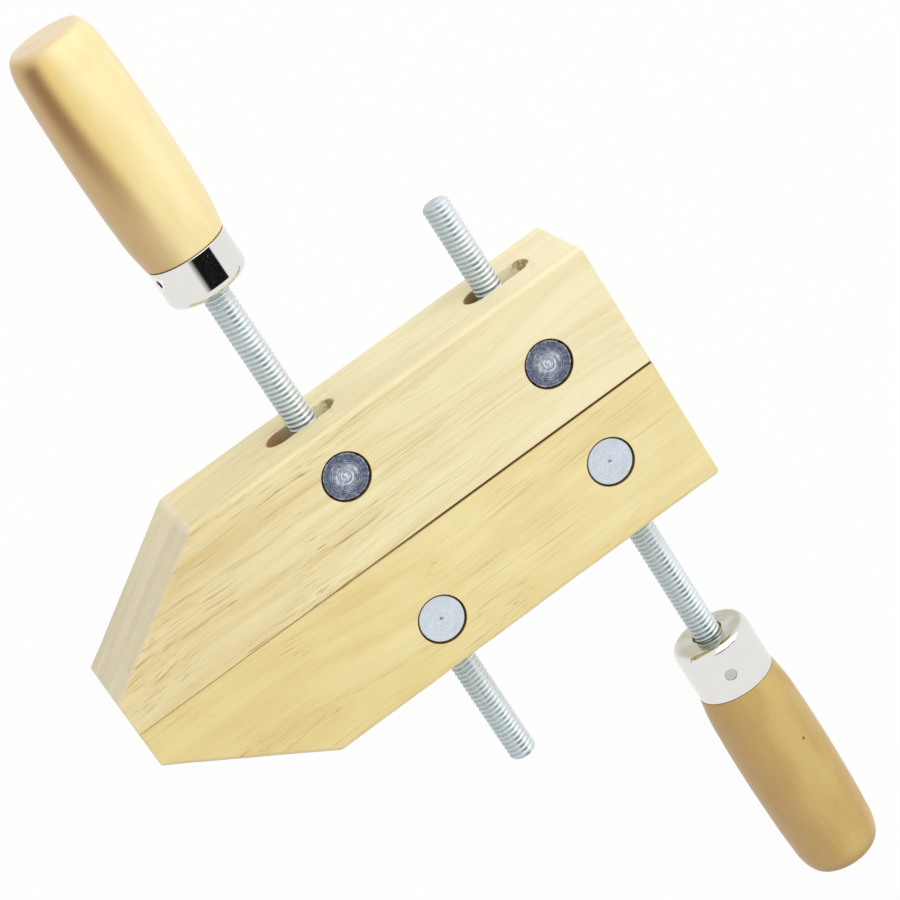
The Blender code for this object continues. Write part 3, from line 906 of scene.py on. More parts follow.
def jaw_material(settings, level, pith):
    """Sanded softwood with fine flecks. It is warmer at the nose, paler at the heel, and greyer
    and striped on the slope. Painted light makes the outer face paler. The slots are painted
    pale inside as light, browner at their nose ends and torn at their heel ends. The nuts'
    bores are painted dark as shade, and painted shade lies along the edges of the clamping
    face, in the gap between the jaws."""
    upper = level == "upper"
    material, tree, shader = new_material(f"{level}_jaw_wood")
    low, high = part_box(f"{level}_jaw")
    middle = (low + high) / 2
    nose, heel = low.x / MM, high.x / MM
    spot = in_millimetres(tree, (0.0, 0.0, 0.0))
    apart = parts(tree, spot)
    warm = getattr(settings, f"{level}_warm")
    grain = placed_group(
        tree,
        grain_group(),
        {
            "Coordinates": in_millimetres(tree, middle + pith),
            "Pale": getattr(settings, f"{level}_pale"),
            "Warm": warm,
            "Streak": settings.streak,
            "Fleck": settings.fleck,
            "Ring width": 5.2,
            "Bands": 0.5 if upper else 0.3,
            "Lines": 0.4 if upper else 0.26,
            "Mottle": 0.14 if upper else 0.26,
            "Streaks": 0.65 if upper else 0.5,
            "Flecks": ramp(
                tree, apart[0], middle.x / MM - 40, heel - 40, 0.95 if upper else 0.6, 0.3
            ),
        },
    )
    heel_share = ramp(tree, apart[0], nose + 60, heel, 0.0, 0.5 if upper else 0.12)
    wood = mixed(tree, heel_share, grain["Color"], settings.pale_wood_and_light)
    nose_share = ramp(tree, apart[0], nose + 30, middle.x / MM, 0.35, 0.0)
    wood = mixed(tree, nose_share, wood, tinted(warm, 0.95))

    side = JAWS[level]
    rise = (high.y - low.y - settings.nose_height) / settings.slope_length
    face = low.y if side > 0 else high.y
    above_nose = -side * face / MM - settings.nose_height / MM + low.x * rise / MM
    above = times(tree, apart[0], -rise, times(tree, apart[1], side, above_nose))
    stripes = noise(tree, in_millimetres(tree, middle), (0.015, 0.015, 0.13), 2.0, 0.55)
    stripes = ramp(tree, stripes, 0.36, 0.64)
    sawn = mixed(tree, stripes, tinted(settings.slope, 0.9), tinted(settings.slope, 1.05))
    wood = mixed(tree, times(tree, ramp(tree, above, -1.6, -0.5), 0.75), wood, sawn)
    # Painted light: the outer face is mixed towards pale wood, as if lit from its side
    lit_outer_face = times(tree, apart[1], side, -side * face / MM - (high.y - low.y) / MM)
    lit_outer_face = times(tree, ramp(tree, lit_outer_face, -1.6, -0.4), 0.3 if upper else 0.1)
    wood = mixed(tree, lit_outer_face, wood, settings.pale_wood_and_light)

    inside, bore_shades = [], []
    for place in SPINDLES:
        rod = centre(f"{place}_spindle")
        nut = centre(f"{place}_{level}_nut")
        back = getattr(settings, f"{place}_slot_to_nose")
        ahead = getattr(settings, f"{place}_slot_to_heel")
        radius = radius_of(f"{place}_spindle") + settings.slot_clearance
        mid_slot = rod.x + (ahead - back) / 2
        slot = placed_group(
            tree,
            hole_group(),
            {
                "Along": maths(tree, "SUBTRACT", apart[0], mid_slot / MM),
                "Across": maths(tree, "SUBTRACT", apart[2], rod.z / MM),
                "Half length": ((back + ahead) / 2 - radius) / MM,
                "Radius": radius / MM + 0.1,
                "Softness": 0.4,
            },
        )["Mask"]
        # Painted light: the slot's walls are mixed towards pale wood, as the lamp would light
        # them
        wood = mixed(tree, times(tree, slot, 0.8), wood, settings.pale_wood_and_light)
        nose_end = ramp(tree, apart[0], (rod.x - back) / MM + 3, rod.x / MM + 2, 0.85, 0.0)
        wood = mixed(tree, times(tree, slot, nose_end), wood, settings.hole)
        ragged = noise(tree, spot, (0.5, 0.7, 1.1), 3.0, 0.6)
        heel_end = ramp(tree, apart[0], (rod.x + 0.45 * ahead) / MM, (rod.x + ahead) / MM)
        bite = ramp(tree, times(tree, heel_end, 0.3, ragged), 0.62, 0.8)
        inside.append(times(tree, slot, times(tree, bite, 0.75)))
        bore = radius_of(f"{place}_{level}_nut") + settings.bore_clearance
        wall = placed_group(
            tree,
            hole_group(),
            {
                "Along": maths(tree, "SUBTRACT", apart[0], nut.x / MM),
                "Across": maths(tree, "SUBTRACT", apart[1], nut.y / MM),
                "Half length": 0.0,
                "Radius": bore / MM + 0.01,
                "Softness": 0.1,
            },
        )["Mask"]
        bore_shades.append(wall)
    # Torn wood at the slots' heel ends, and painted shade on the bores' walls
    for masks, tone in ((inside, settings.torn), (bore_shades, settings.bore)):
        wood = mixed(tree, maths(tree, "MAXIMUM", *masks), wood, tone)

    from_face = maths(tree, "ABSOLUTE", maths(tree, "SUBTRACT", apart[1], face / MM))
    off_middle = maths(tree, "ABSOLUTE", maths(tree, "SUBTRACT", apart[2], middle.z / MM))
    half = (high.z - low.z) / 2 / MM
    edges = maths(
        tree,
        "MAXIMUM",
        ramp(tree, off_middle, half - 2.2, half - 0.6, 0.1, 1.0),
        ramp(tree, apart[0], heel - 2.2, heel - 0.6, 0.1, 1.0),
    )
    # Painted shade in the gap between the jaws: a dark rim along the clamping face's edges
    gap_shade_mask = ramp(tree, from_face, 0.12, 0.4, 1.0, 0.0)
    gap_shade_mask = times(tree, gap_shade_mask, ramp(tree, apart[0], -50.0, 30.0, 0.1, 0.95))
    wood = mixed(tree, times(tree, gap_shade_mask, edges), wood, settings.joint)
    rough = maths(tree, "ADD", grain["Roughness"], 0.42, clamp=True)
    finish(
        tree, shader, wood, rough, grain["Height"], 0.06 * MM, {"Specular IOR Level": 0.3}
    )
    return material


class MakeJaws(bpy.types.Operator):
    """Make the two wooden jaws, with their slots and bores"""

    bl_idname = "clamp.make_jaws"
    bl_label = "Make jaws"

    def execute(self, context):
        settings = context.scene.clamp_jaws
        # Where each jaw's growth rings have their middle, from the jaw's own middle
        piths = {"upper": Vector((0.0, 0.075, -0.04)), "lower": Vector((0.3, -0.05, -0.06))}
        for number, level in enumerate(JAWS):
            piece = new_object(f"{level}_jaw_wood", jaw_grid(settings, level))
            cutters = []
            for place in SPINDLES:
                seed = 11 + 2 * number + SPINDLES.index(place)
                cutters.append(bore_cutter(settings, level, place))
                cutters.append(slot_cutter(settings, level, place, seed))
            cut_away(piece, cutters)
            material = jaw_material(settings, level, piths[level])
            dress(piece, material, f"{level}_jaw", f"{level}_jaw_wood", f"{level}_jaw")
        return {"FINISHED"}


# Barrel nuts


def nut_profile(settings, radius, half, pip):
    """A barrel nut's outline from the middle of its lower end to the middle of its upper
    end. Each end is flat but for turning rings, a cosine of the distance from the axis,
    and for a rounded pip or a conical dimple in its middle."""
    flat = radius - settings.chamfer
    reach = np.linspace(flat - 0.1 * MM, 0.1 * MM, 70)
    wave = 0.5 + 0.5 * np.cos(FULL_TURN * reach / settings.ring_pitch)
    drop = settings.ring_depth * wave
    if pip:
        bulge = np.clip(1 - (reach / settings.pip_radius) ** 2, 0.0, 1.0)
        drop = np.where(bulge > 0, -settings.pip_height * bulge, drop)
    else:
        bowl = np.clip(1 - reach / settings.dimple_radius, 0.0, 1.0)
        drop = np.where(bowl > 0, settings.dimple_depth * bowl, drop)
    end = np.stack([reach, half - drop], -1)
    rim = [(radius, half - settings.chamfer), (flat + 0.04 * MM, half - 0.04 * MM), (flat, half)]
    upper = np.vstack([rim, end])
    return np.vstack([upper[::-1] * (1, -1), upper])


def nut_material(settings, level):
    """Turned metal with fine rings on its ends, whose tones are painted ring highlights and
    shade: above, scratched steel painted dark blue-grey as a dark reflection, worn paler in
    the middle, with a painted highlight in a bright swirl and painted highlights in patches
    round its rim, and below, bright zinc with its dimple painted dark as a dark reflection."""
    dark = level == "upper"
    material, tree, shader = new_material("dark_steel" if dark else "bright_zinc_nut")
    # Each nut's own middle is where its rings are centred, so the mesh carries it
    spot = turned_place(tree)
    reach = from_axis(tree, spot)
    # Painted dark reflection: the upper nuts' tone is dark, standing for a dark thing reflected
    # in them
    tone = settings.dark if dark else settings.zinc
    if dark:
        wear = {"dull": 0.62, "speck": 0.25, "dullness": 0.8, "speck_amount": 0.35}
    else:
        wear = {"dull": 0.88, "speck": 0.6, "dullness": 0.5, "speck_amount": 0.1}
    metal = handled_metal(tree, spot, tone, roughness=0.3, **wear)
    coat = metal["Color"]
    if dark:
        patchy = noise(tree, spot, (0.5, 0.5, 0.5), 3.0, 0.65)
        shifted = times(tree, maths(tree, "SUBTRACT", patchy, 0.5), 7.0, reach)
        coat = mixed(tree, ramp(tree, shifted, 1.6, 6.6, 1.0, 0.0), coat, settings.worn)
        apart = parts(tree, spot)
        # Painted highlight: a bright spiral winds round the middle
        winding = times(tree, reach, 3.6, maths(tree, "ARCTAN2", apart[1], apart[0]))
        spiral_highlight = ramp(tree, maths(tree, "SINE", winding), 0.35, 0.95)
        spiral_highlight = times(tree, spiral_highlight, ramp(tree, shifted, 1.8, 4.8, 1.0, 0.0))
        hairs = noise(tree, spot, (1.2, 4.5, 1.0), 3.0, 0.7)
        hairs = times(tree, ramp(tree, hairs, 0.56, 0.72), 0.75)
        # Painted highlights in patches round the rim, where the chamfer catches light; the hairs
        # are real scratches
        rim = times(tree, ramp(tree, reach, 7.0, 7.5), ramp(tree, patchy, 0.4, 0.6))
        bright = maths(tree, "MAXIMUM", spiral_highlight, hairs)
        bright = maths(tree, "MAXIMUM", bright, times(tree, rim, 0.7))
        coat = mixed(tree, bright, coat, settings.highlights_and_scratches)
    else:
        # Painted dark reflection: the dimple's middle is darkened
        coat = mixed(tree, ramp(tree, reach, 0.35, 1.0, 0.75, 0.0), coat, tinted(tone, 0.2))
    rings = placed_group(
        tree, rings_group(), {"Coordinates": spot, "Rings per mm": 3.0 if dark else 2.4}
    )
    broken = noise(tree, spot, (0.9, 0.9, 0.9), 2.0, 0.6)
    scratch = times(tree, maths(tree, "SUBTRACT", broken, 0.5), 0.5, rings["Rings"])
    # Painted ring highlights and shade: the rings' tone goes darker and brighter
    shade = ramp(tree, scratch, 0.34, 0.66, 0.4 if dark else 0.88, 1.3 if dark else 1.04)
    shade_of_ring = add(tree, "CombineColor", {0: shade, 1: shade, 2: shade})
    coat = mixed(tree, 1.0, coat, shade_of_ring.outputs[0], "MULTIPLY")
    height = maths(tree, "ADD", scratch, rings["Broad rings"])
    unit = 0.05 * MM if dark else 0.02 * MM
    finish(tree, shader, coat, metal["Roughness"], height, unit, {"Metallic": 1.0})
    return material


def mark_places(piece, points):
    """Stores a place for each vertex of a piece, in millimetres, for its material."""
    stored = piece.data.attributes.new("turned_place", "FLOAT_VECTOR", "POINT")
    stored.data.foreach_set("vector", np.ascontiguousarray(points / MM, float).ravel())


def vertex_places(piece):
    """The places of a piece's vertices."""
    flat = np.empty(3 * len(piece.data.vertices), np.float32)
    piece.data.vertices.foreach_get("co", flat)
    return flat.reshape(-1, 3)


class MakeNuts(bpy.types.Operator):
    """Make the four barrel nuts"""

    bl_idname = "clamp.make_nuts"
    bl_label = "Make nuts"

    def execute(self, context):
        settings = context.scene.clamp_nuts
        for level in JAWS:
            material = nut_material(settings, level)
            for place in SPINDLES:
                node = f"{place}_{level}_nut"
                low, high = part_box(node)
                middle = np.array((low + high) / 2)
                profile = nut_profile(
                    settings,
                    radius_of(node),
                    (high.z - low.z) / 2 + settings.growth,
                    level == "upper",
                )
                piece = new_object(f"{node}_turned", lathe(profile, SIDES["nut"]) + middle)
                bore = radius_of(f"{place}_spindle") + settings.bore_clearance
                reach = radius_of(node) + OVERRUN
                along_z = lathe([(bore, -reach), (bore, reach)], SIDES["nut_bore"])
                across = np.stack(
                    [along_z[..., 0], along_z[..., 2], -along_z[..., 1]], -1
                )
                cut_away(piece, [new_object(f"{node}_bore", across + middle)])
                mark_places(piece, vertex_places(piece) - middle)
                slot = "dark_steel" if level == "upper" else "bright_zinc"
                dress(piece, material, node, slot, node)
        return {"FINISHED"}


# Spindles


def thread_grid(settings, place):
    """A spindle's surface. Its radius is that of the crests less the thread's depth times
    a rounded tooth, which rises and falls with the height over the pitch plus or minus the
    turn, so that the crests wind as a helix. The winding is left-hand in the upper jaw and
    right-hand in the lower one, with a plain stretch between them. A chamfer limits the
    radius at the free end, and a tang of less radius runs on into the handle."""
    crest = radius_of(f"{place}_spindle")
    side = spindle_axis(place)[3]
    free_end, _ = length_along(place, f"{place}_spindle")
    face_of_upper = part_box("upper_jaw")[0].y
    face_of_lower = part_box("lower_jaw")[1].y
    middle = side * ((face_of_upper + face_of_lower) / 2 - spindle_axis(place)[1])
    wall = bpy.context.scene.clamp_ferrules.wall
    rows_per_turn = 12
    rows = int((wall - free_end) / settings.pitch * rows_per_turn)
    height = np.linspace(free_end, wall, rows)[:, None]
    turn = np.linspace(0.0, FULL_TURN, SIDES["spindle"], endpoint=False)[None, :]
    hand = np.where(height > middle, -side, side)
    phase = np.abs(2 * ((height - middle) / settings.pitch - hand * turn / FULL_TURN) % 2 - 1)
    tooth = np.clip((phase - 0.12) / 0.76, 0.0, 1.0)
    tooth = tooth * tooth * (3 - 2 * tooth)
    away = np.abs(height - middle)
    plain = np.clip((away - settings.plain_half) / (2 * MM), 0.0, 1.0)
    blank = crest - 0.55 * settings.depth
    radius = crest - settings.depth * (1 - tooth)
    radius = blank + (radius - blank) * plain
    radius = np.minimum(radius, crest - settings.chamfer + (height - free_end))
    tang = crest - settings.tang_step
    ends = [(tang, wall + 0.02 * MM), (tang, settings.tang_length)]
    tail = lathe(ends, turn.size)
    cap = lathe([(crest - 1.6 * settings.chamfer, free_end)], turn.size)
    return np.concatenate([cap, around(radius, turn, height), tail])


def thread_material(settings, place):
    """Pale bluish zinc, with a painted reflection that makes it brighter on the heel side.
    Painted shade lies in the roots, found by the distance from the axis, most of all in a band
    beside the bright side."""
    material, tree, shader = new_material(f"{place}_threaded_zinc")
    spot = turned_place(tree)
    metal = handled_metal(
        tree,
        spot,
        settings.zinc,
        dull=0.85,
        speck=0.6,
        dullness=0.5,
        speck_amount=0.08,
        roughness=0.42,
    )
    to_heel = towards(tree, spot, place, 75.0)
    # Painted reflection: the heel side is mixed towards bright zinc
    reflection_side = ramp(tree, to_heel, 0.3, 0.75)
    zinc = mixed(tree, times(tree, reflection_side, 0.85), metal["Color"], settings.bright)
    crest = radius_of(f"{place}_spindle") / MM
    reach = from_axis(tree, spot)
    depth = settings.depth / MM
    # Painted shade in the thread roots, found by the distance from the axis, strongest in a band
    # beside the bright side, where dark things would be reflected
    deep = ramp(tree, reach, crest - depth, crest - 0.4 * depth, 1.0, 0.0)
    deep = times(tree, deep, ramp(tree, reach, crest - 2 * depth, crest - 1.2 * depth))
    patchy = noise(tree, spot, (0.4, 0.4, 0.12))
    band = ramp(tree, to_heel, -0.3, 0.15)
    band = times(tree, band, ramp(tree, to_heel, 0.4, 0.65, 1.0, 0.0))
    root_shading = times(tree, band, ramp(tree, patchy, 0.35, 0.65, 0.35, 0.95))
    root_shading = maths(tree, "MAXIMUM", root_shading, times(tree, reflection_side, -0.22, 0.22))
    zinc = mixed(tree, times(tree, deep, root_shading), zinc, settings.root)
    rough = times(tree, deep, 0.2, metal["Roughness"])
    finish(tree, shader, zinc, rough, metal["Height"], 0.02 * MM, {"Metallic": 1.0})
    return material


def pin_grid(settings, place, half):
    """A cross pin's surface. The rear pin's ends are low domes, quarter waves of height
    over radius. The front pin is hollow at its ends, and each rim is rolled outwards, three
    quarters of a circle."""
    radius, dome = settings.pin_radius, settings.pin_dome
    if place == "front":
        hollow = settings.pin_hollow
        lip = (settings.pin_flare - hollow) / 2
        bottom = half - 2 * radius
        rim = quarter(settings.pin_flare - lip, half - lip, lip, 180, -90, 18)
        end = np.vstack([[(SUPPORT, bottom), (hollow, bottom)], rim])
    else:
        turn = np.linspace(0.0, math.pi / 2, 9)
        end = np.stack([radius * np.sin(turn), half - dome * (1 - np.cos(turn))], -1)
        end[0, 0] = SUPPORT
    return lathe(np.vstack([end * (1, -1), end[::-1]]), SIDES["pin"])


def laid_on_pin(points, place, settings):
    """Points drawn along Z, laid along a cross pin and onto its spindle."""
    turn = getattr(settings, f"{place}_pin_turn")
    turned = np.array(Matrix.Rotation(turn, 3, "Z") @ Matrix.Rotation(math.pi / 2, 3, "Y"))
    spot = points @ turned.T + np.array((0.0, 0.0, settings.pin_from_face))
    return onto_spindle(spot, place)


class MakeSpindles(bpy.types.Operator):
    """Make the two threaded spindles, and finish their hidden tails"""

    bl_idname = "clamp.make_spindles"
    bl_label = "Make spindles"

    def execute(self, context):
        settings = context.scene.clamp_spindles
        ferrules = context.scene.clamp_ferrules
        steel = pin_material(ferrules)
        for place in SPINDLES:
            material = thread_material(settings, place)
            points = thread_grid(settings, place)
            piece = new_object(f"{place}_spindle_threaded", onto_spindle(points, place))
            mark_places(piece, points.reshape(-1, 3))
            piece.data.set_sharp_from_angle(angle=math.radians(60))
            dress(piece, material, f"{place}_spindle", "bright_zinc", f"{place}_spindle")
            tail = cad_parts[f"{place}_spindle_tail"]
            tail.data.materials.clear()
            tail.data.materials.append(steel)
        return {"FINISHED"}


# Ferrules and their cross pins


def ferrule_profile(settings, radius, long, hole):
    """A cup's outline, out along its face, up its side and back down its inside. Its
    shoulder and its rim's edges are round."""
    wall, shoulder, lip = settings.wall, settings.shoulder, settings.lip
    inner = shoulder - wall
    middle = radius - shoulder
    outside = quarter(middle, shoulder, shoulder, -90, 0, 14)
    inside = quarter(middle, shoulder, inner, 0, -90, 8)
    rim = np.vstack(
        [
            quarter(radius - lip, long - lip, lip, 0, 90, 4),
            quarter(radius - wall + lip, long - lip, lip, 90, 180, 4),
        ]
    )
    mouth = np.vstack(
        [
            quarter(hole + lip, wall - lip, lip, 90, 180, 4),
            quarter(hole + lip, lip, lip, 180, 270, 4),
        ]
    )
    flat = [(middle - SUPPORT, 0.0)]
    straight = [(radius, shoulder + SUPPORT), (radius, long - lip - SUPPORT)]
    return np.vstack([mouth, flat, outside, straight, rim, inside])


def plating_material(settings):
    """Polished plating with faint clouding, a few specks, and a painted reflection, beige and
    patchy, on its face.
    """
    material, tree, shader = new_material("polished_plating")
    spot = turned_place(tree)
    metal = handled_metal(
        tree,
        spot,
        settings.plating,
        dull=0.94,
        speck=0.6,
        dullness=0.15,
        speck_amount=0.03,
        roughness=0.05,
    )
    # Painted reflection of the shadowed floor on the face, beige and patchy
    cloudy = noise(tree, spot, (0.12, 0.12, 0.12))
    face_reflection_mask = ramp(tree, parts(tree, spot)[2], 0.1, 1.0, 1.0, 0.0)
    face_reflection_mask = times(tree, face_reflection_mask, ramp(tree, cloudy, 0.3, 0.6, 0.3, 0.75))
    coat = mixed(tree, face_reflection_mask, metal["Color"], settings.face_reflection)
    rough, height = metal["Roughness"], metal["Height"]
    finish(tree, shader, coat, rough, height, 0.001 * MM, {"Metallic": 1.0})
    return material


def pin_material(settings, hollow=False):
    """Plain ground steel. A hollow pin is painted dark inside its ends, as shade in the hollow.
    """
    name = "hollow_steel" if hollow else "plain_steel"
    if name in bpy.data.materials:
        return bpy.data.materials[name]
    material, tree, shader = new_material(name)
    spot = turned_place(tree)
    metal = handled_metal(
        tree,
        spot,
        settings.steel,
        dull=0.9,
        speck=0.5,
        dullness=0.4,
        speck_amount=0.12,
        roughness=0.1,
    )
    tone = metal["Color"]
    if hollow:
        inner = settings.pin_hollow / MM
        depth = (radius_of("front_ferrule") - settings.front_pin_inset) / MM
        far = maths(tree, "ABSOLUTE", parts(tree, spot)[2])
        # Painted shade: the inside of the hollow is painted near black
        dark = ramp(tree, from_axis(tree, spot), inner - 0.1, inner + 0.15, 1.0, 0.0)
        dark = times(tree, dark, ramp(tree, far, depth - 0.6, depth - 0.2, 0.92, 0.0))
        tone = mixed(tree, dark, tone, tinted(settings.steel, 0.06))
    rough, height = metal["Roughness"], metal["Height"]
    finish(tree, shader, tone, rough, height, 0.02 * MM, {"Metallic": 1.0})
    return material


class MakeFerrules(bpy.types.Operator):
    """Make the two plated ferrules and their cross pins"""

    bl_idname = "clamp.make_ferrules"
    bl_label = "Make ferrules"

    def execute(self, context):
        settings = context.scene.clamp_ferrules
        plating = plating_material(settings)
        for place in SPINDLES:
            body = f"{place}_spindle"
            node = f"{place}_ferrule"
            radius = radius_of(node)
            _, long = length_along(place, node)
            hole = radius_of(f"{place}_spindle") + settings.hole_clearance
            profile = ferrule_profile(settings, radius, long, hole)
            points = onto_spindle(lathe(profile, SIDES["ferrule"]), place)
            cup = new_object(f"{node}_plated", points, ring=True)
            hole_radius = settings.pin_radius + settings.pin_clearance
            past_wall = radius + OVERRUN
            ends = [(hole_radius, -past_wall), (hole_radius, past_wall)]
            hole_points = laid_on_pin(lathe(ends, SIDES["pin_hole"]), place, settings)
            cut_away(cup, [new_object(f"{node}_pin_hole", hole_points)])
            mark_places(cup, from_spindle(vertex_places(cup), place))
            dress(cup, plating, body, "polished_plating", node)

            half = radius - getattr(settings, f"{place}_pin_inset")
            points = pin_grid(settings, place, half)
            pin = new_object(f"{node}_pin_ground", laid_on_pin(points, place, settings))
            mark_places(pin, points.reshape(-1, 3))
            steel = pin_material(settings, hollow=place == "front")
            dress(pin, steel, body, "plain_steel", f"{node}_pin")
        return {"FINISHED"}


# Handles

# The barrel's swell: a share of the way along it, and a share of the way from the neck's
# radius to the handle's greatest radius
SWELL_SHARES = (
    (0.00, 0.00),
    (0.09, 0.50),
    (0.16, 0.74),
    (0.24, 0.84),
    (0.32, 0.94),
    (0.45, 1.00),
    (0.60, 1.00),
    (0.72, 0.92),
    (0.84, 0.82),
    (0.93, 0.71),
)


def handle_profile(settings, ferrules, place):
    """A handle's outline: up its bore, over its tenon in the ferrule, along the barrel's
    smooth swell and round its end. The end is a quarter of an ellipse, whose radius falls
    with the cosine and whose height grows with the sine of an angle."""
    ferrule = radius_of(f"{place}_ferrule")
    face, end = length_along(place, f"{place}_handle")
    _, rim = length_along(place, f"{place}_ferrule")
    greatest = radius_of(f"{place}_handle")
    spindles = bpy.context.scene.clamp_spindles
    tang = radius_of(f"{place}_spindle") - spindles.tang_step
    bore = tang + settings.bore_clearance
    _, tail_end = length_along(place, f"{place}_spindle_tail")
    bottom = tail_end + settings.bore_clearance
    tenon = ferrule - face
    shoulder = max(ferrules.shoulder - face, settings.bore_clearance)
    neck = ferrule + settings.step
    base = rim + settings.bore_clearance

    end_radius = settings.end_diameter / 2
    shares = np.array([*SWELL_SHARES, (1.0, (end_radius - neck) / (greatest - neck))])
    start = base + settings.neck_chamfer
    straight_end = end - settings.end_length
    swell = smoothly(shares, 8)
    barrel = np.stack(
        [neck + (greatest - neck) * swell[:, 1], start + (straight_end - start) * swell[:, 0]],
        -1,
    )
    flat = settings.face_diameter / 2
    angle = np.radians(np.linspace(0.0, 90.0, 25))[1:]
    rounded = np.stack(
        [
            flat + (end_radius - flat) * np.cos(angle).clip(0.0),
            straight_end + settings.end_length * np.sin(angle),
        ],
        -1,
    )
    rings = np.linspace(flat - 0.3 * MM, 0.2 * MM, 6)
    end_face = np.stack([rings, np.full_like(rings, end)], -1)
    return np.vstack(
        [
            [(0.2 * MM, bottom), (bore, bottom), (bore, face)],
            quarter(tenon - shoulder, face + shoulder, shoulder, -90, 0, 5),
            [(tenon, base), (neck - settings.neck_chamfer, base)],
            barrel,
            rounded,
            end_face,
        ]
    )


def handle_material(settings, place):
    """Varnished turned wood with its grain along the handle. Painted shade makes it browner on
    the nose side, and it is browner on the end, where on the rear handle painted shade also
    covers the rounded end. The front handle has one dark streak, a painted dark reflection
    that fades towards the ferrule, with golden wood beside it, and the rear handle has a pin
    knot."""
    front = place == "front"
    material, tree, shader = new_material(f"{place}_varnished_wood")
    # Places drawn along Z from the ferrule's face, as the mesh was before it was laid
    spot = turned_place(tree)
    apart = parts(tree, spot)
    off_x = maths(tree, "ADD", apart[0], 26.0 if front else -34.0)
    off_y = maths(tree, "ADD", apart[1], -30.0 if front else 18.0)
    streak = getattr(settings, f"{place}_streak")
    grain = placed_group(
        tree,
        grain_group(),
        {
            "Coordinates": add(tree, "CombineXYZ", {0: apart[2], 1: off_x, 2: off_y}).outputs[0],
            "Pale": getattr(settings, f"{place}_pale"),
            "Warm": getattr(settings, f"{place}_warm"),
            "Streak": streak,
            "Fleck": streak,
            "Ring width": 9.0,
            "Bands": 0.2 if front else 0.25,
            "Lines": 0.06 if front else 0.08,
            "Mottle": 0.22 if front else 0.5,
            "Streaks": 0.0 if front else 0.12,
            "Flecks": 0.05 if front else 0.1,
        },
    )
    end = length_along(place, f"{place}_handle")[1] / MM
    rim = length_along(place, f"{place}_ferrule")[1] / MM
    to_nose = towards(tree, spot, place, -75.0)
    # Painted shade: the nose side is mixed towards a darker, browner wood
    shaded_side = ramp(tree, to_nose, 0.3, 0.98, 0.0, 0.9 if front else 0.7)
    wood = mixed(tree, shaded_side, grain["Color"], getattr(settings, f"{place}_side"))
    if front:
        wavy = noise(tree, spot, (0.05, 0.05, 0.03), 1.0)
        # The sine of the angle past the streak towards the heel. It leans towards the nose
        # as it nears the handle's end
        lean = ramp(tree, apart[2], rim, end, -0.28, 0.0)
        lean = times(tree, maths(tree, "SUBTRACT", wavy, 0.5), 0.12, lean)
        past = maths(tree, "ADD", towards(tree, spot, place, 50.0), lean)
        facing = ramp(tree, towards(tree, spot, place, -40.0), 0.0, 0.3)
        along = ramp(tree, apart[2], rim, end - 14, 0.06, 0.95)
        along = times(tree, along, ramp(tree, apart[2], end - 5, end - 1, 1.0, 0.0))
        shown = times(tree, along, facing)
        # Where each tone starts and is full, where it starts to fade and is gone, and how
        # strong it is: the golden wood, and over it the dark streak, a painted dark reflection
        zones = (
            (settings.front_gold, (-0.1, 0.15), (0.3, 0.7), 0.5),
            (settings.front_streak, (-0.5, -0.08), (-0.02, 0.28), 0.9),
        )
        for tone, rising, falling, strength in zones:
            zone = ramp(tree, past, *rising)
            zone = times(tree, zone, ramp(tree, past, *falling, strength, 0.0))
            wood = mixed(tree, times(tree, zone, shown), wood, tone)
    else:
        knot = vectors(tree, "DISTANCE", spot, (5.9, 14.6, 46.0))
        wood = mixed(tree, ramp(tree, knot, 0.4, 0.8, 0.85, 0.0), wood, settings.knot)
    # End grain on the end face; on the rear handle it reaches over the rounded end as painted
    # shade
    end_grain_and_shade = ramp(tree, apart[2], end - (2.0 if front else 6.0), end - 0.02)
    pores = noise(tree, spot, (3.2, 3.2, 0.1), 2.0, 0.6)
    specks = times(tree, ramp(tree, pores, 0.6, 0.76), 0.3)
    end_tone = getattr(settings, f"{place}_end")
    end_wood = mixed(tree, specks, end_tone, tinted(end_tone, 0.55))
    wood = mixed(tree, times(tree, end_grain_and_shade, 0.85), wood, end_wood)
    rough = maths(tree, "ADD", grain["Roughness"], 0.36)
    varnish = {"Coat Weight": 0.45 if front else 0.2, "Coat Roughness": 0.22}
    finish(tree, shader, wood, rough, grain["Height"], 0.02 * MM, varnish)
    return material


class MakeHandles(bpy.types.Operator):
    """Make the two turned wooden handles"""

    bl_idname = "clamp.make_handles"
    bl_label = "Make handles"

    def execute(self, context):
        settings = context.scene.clamp_handles
        ferrules = context.scene.clamp_ferrules
        for place in SPINDLES:
            node = f"{place}_handle"
            points = lathe(handle_profile(settings, ferrules, place), SIDES["handle"])
            piece = new_object(f"{node}_turned", onto_spindle(points, place))
            mark_places(piece, points.reshape(-1, 3))
            material = handle_material(settings, place)
            slot = "pale_varnished_wood" if place == "front" else "tan_varnished_wood"
            dress(piece, material, f"{place}_spindle", slot, node)
        return {"FINISHED"}


# Stage


def seen_directly(tree):
    """1 for rays from the camera and for reflections and glass, 0 for light on the way to
    a matt surface."""
    path = add(tree, "LightPath").outputs
    seen = maths(tree, "MAXIMUM", path["Is Camera Ray"], path["Is Glossy Ray"])
    return maths(tree, "MAXIMUM", seen, path["Is Transmission Ray"])


def matt(name, tone, roughness):
    """A material without any gloss, with its node tree and its shader."""
    material, tree, shader = new_material(name)
    shader.inputs["Base Color"].default_value = (*tone, 1.0)
    shader.inputs["Roughness"].default_value = roughness
    shader.inputs["Specular IOR Level"].default_value = 0.0
    return material, tree, shader


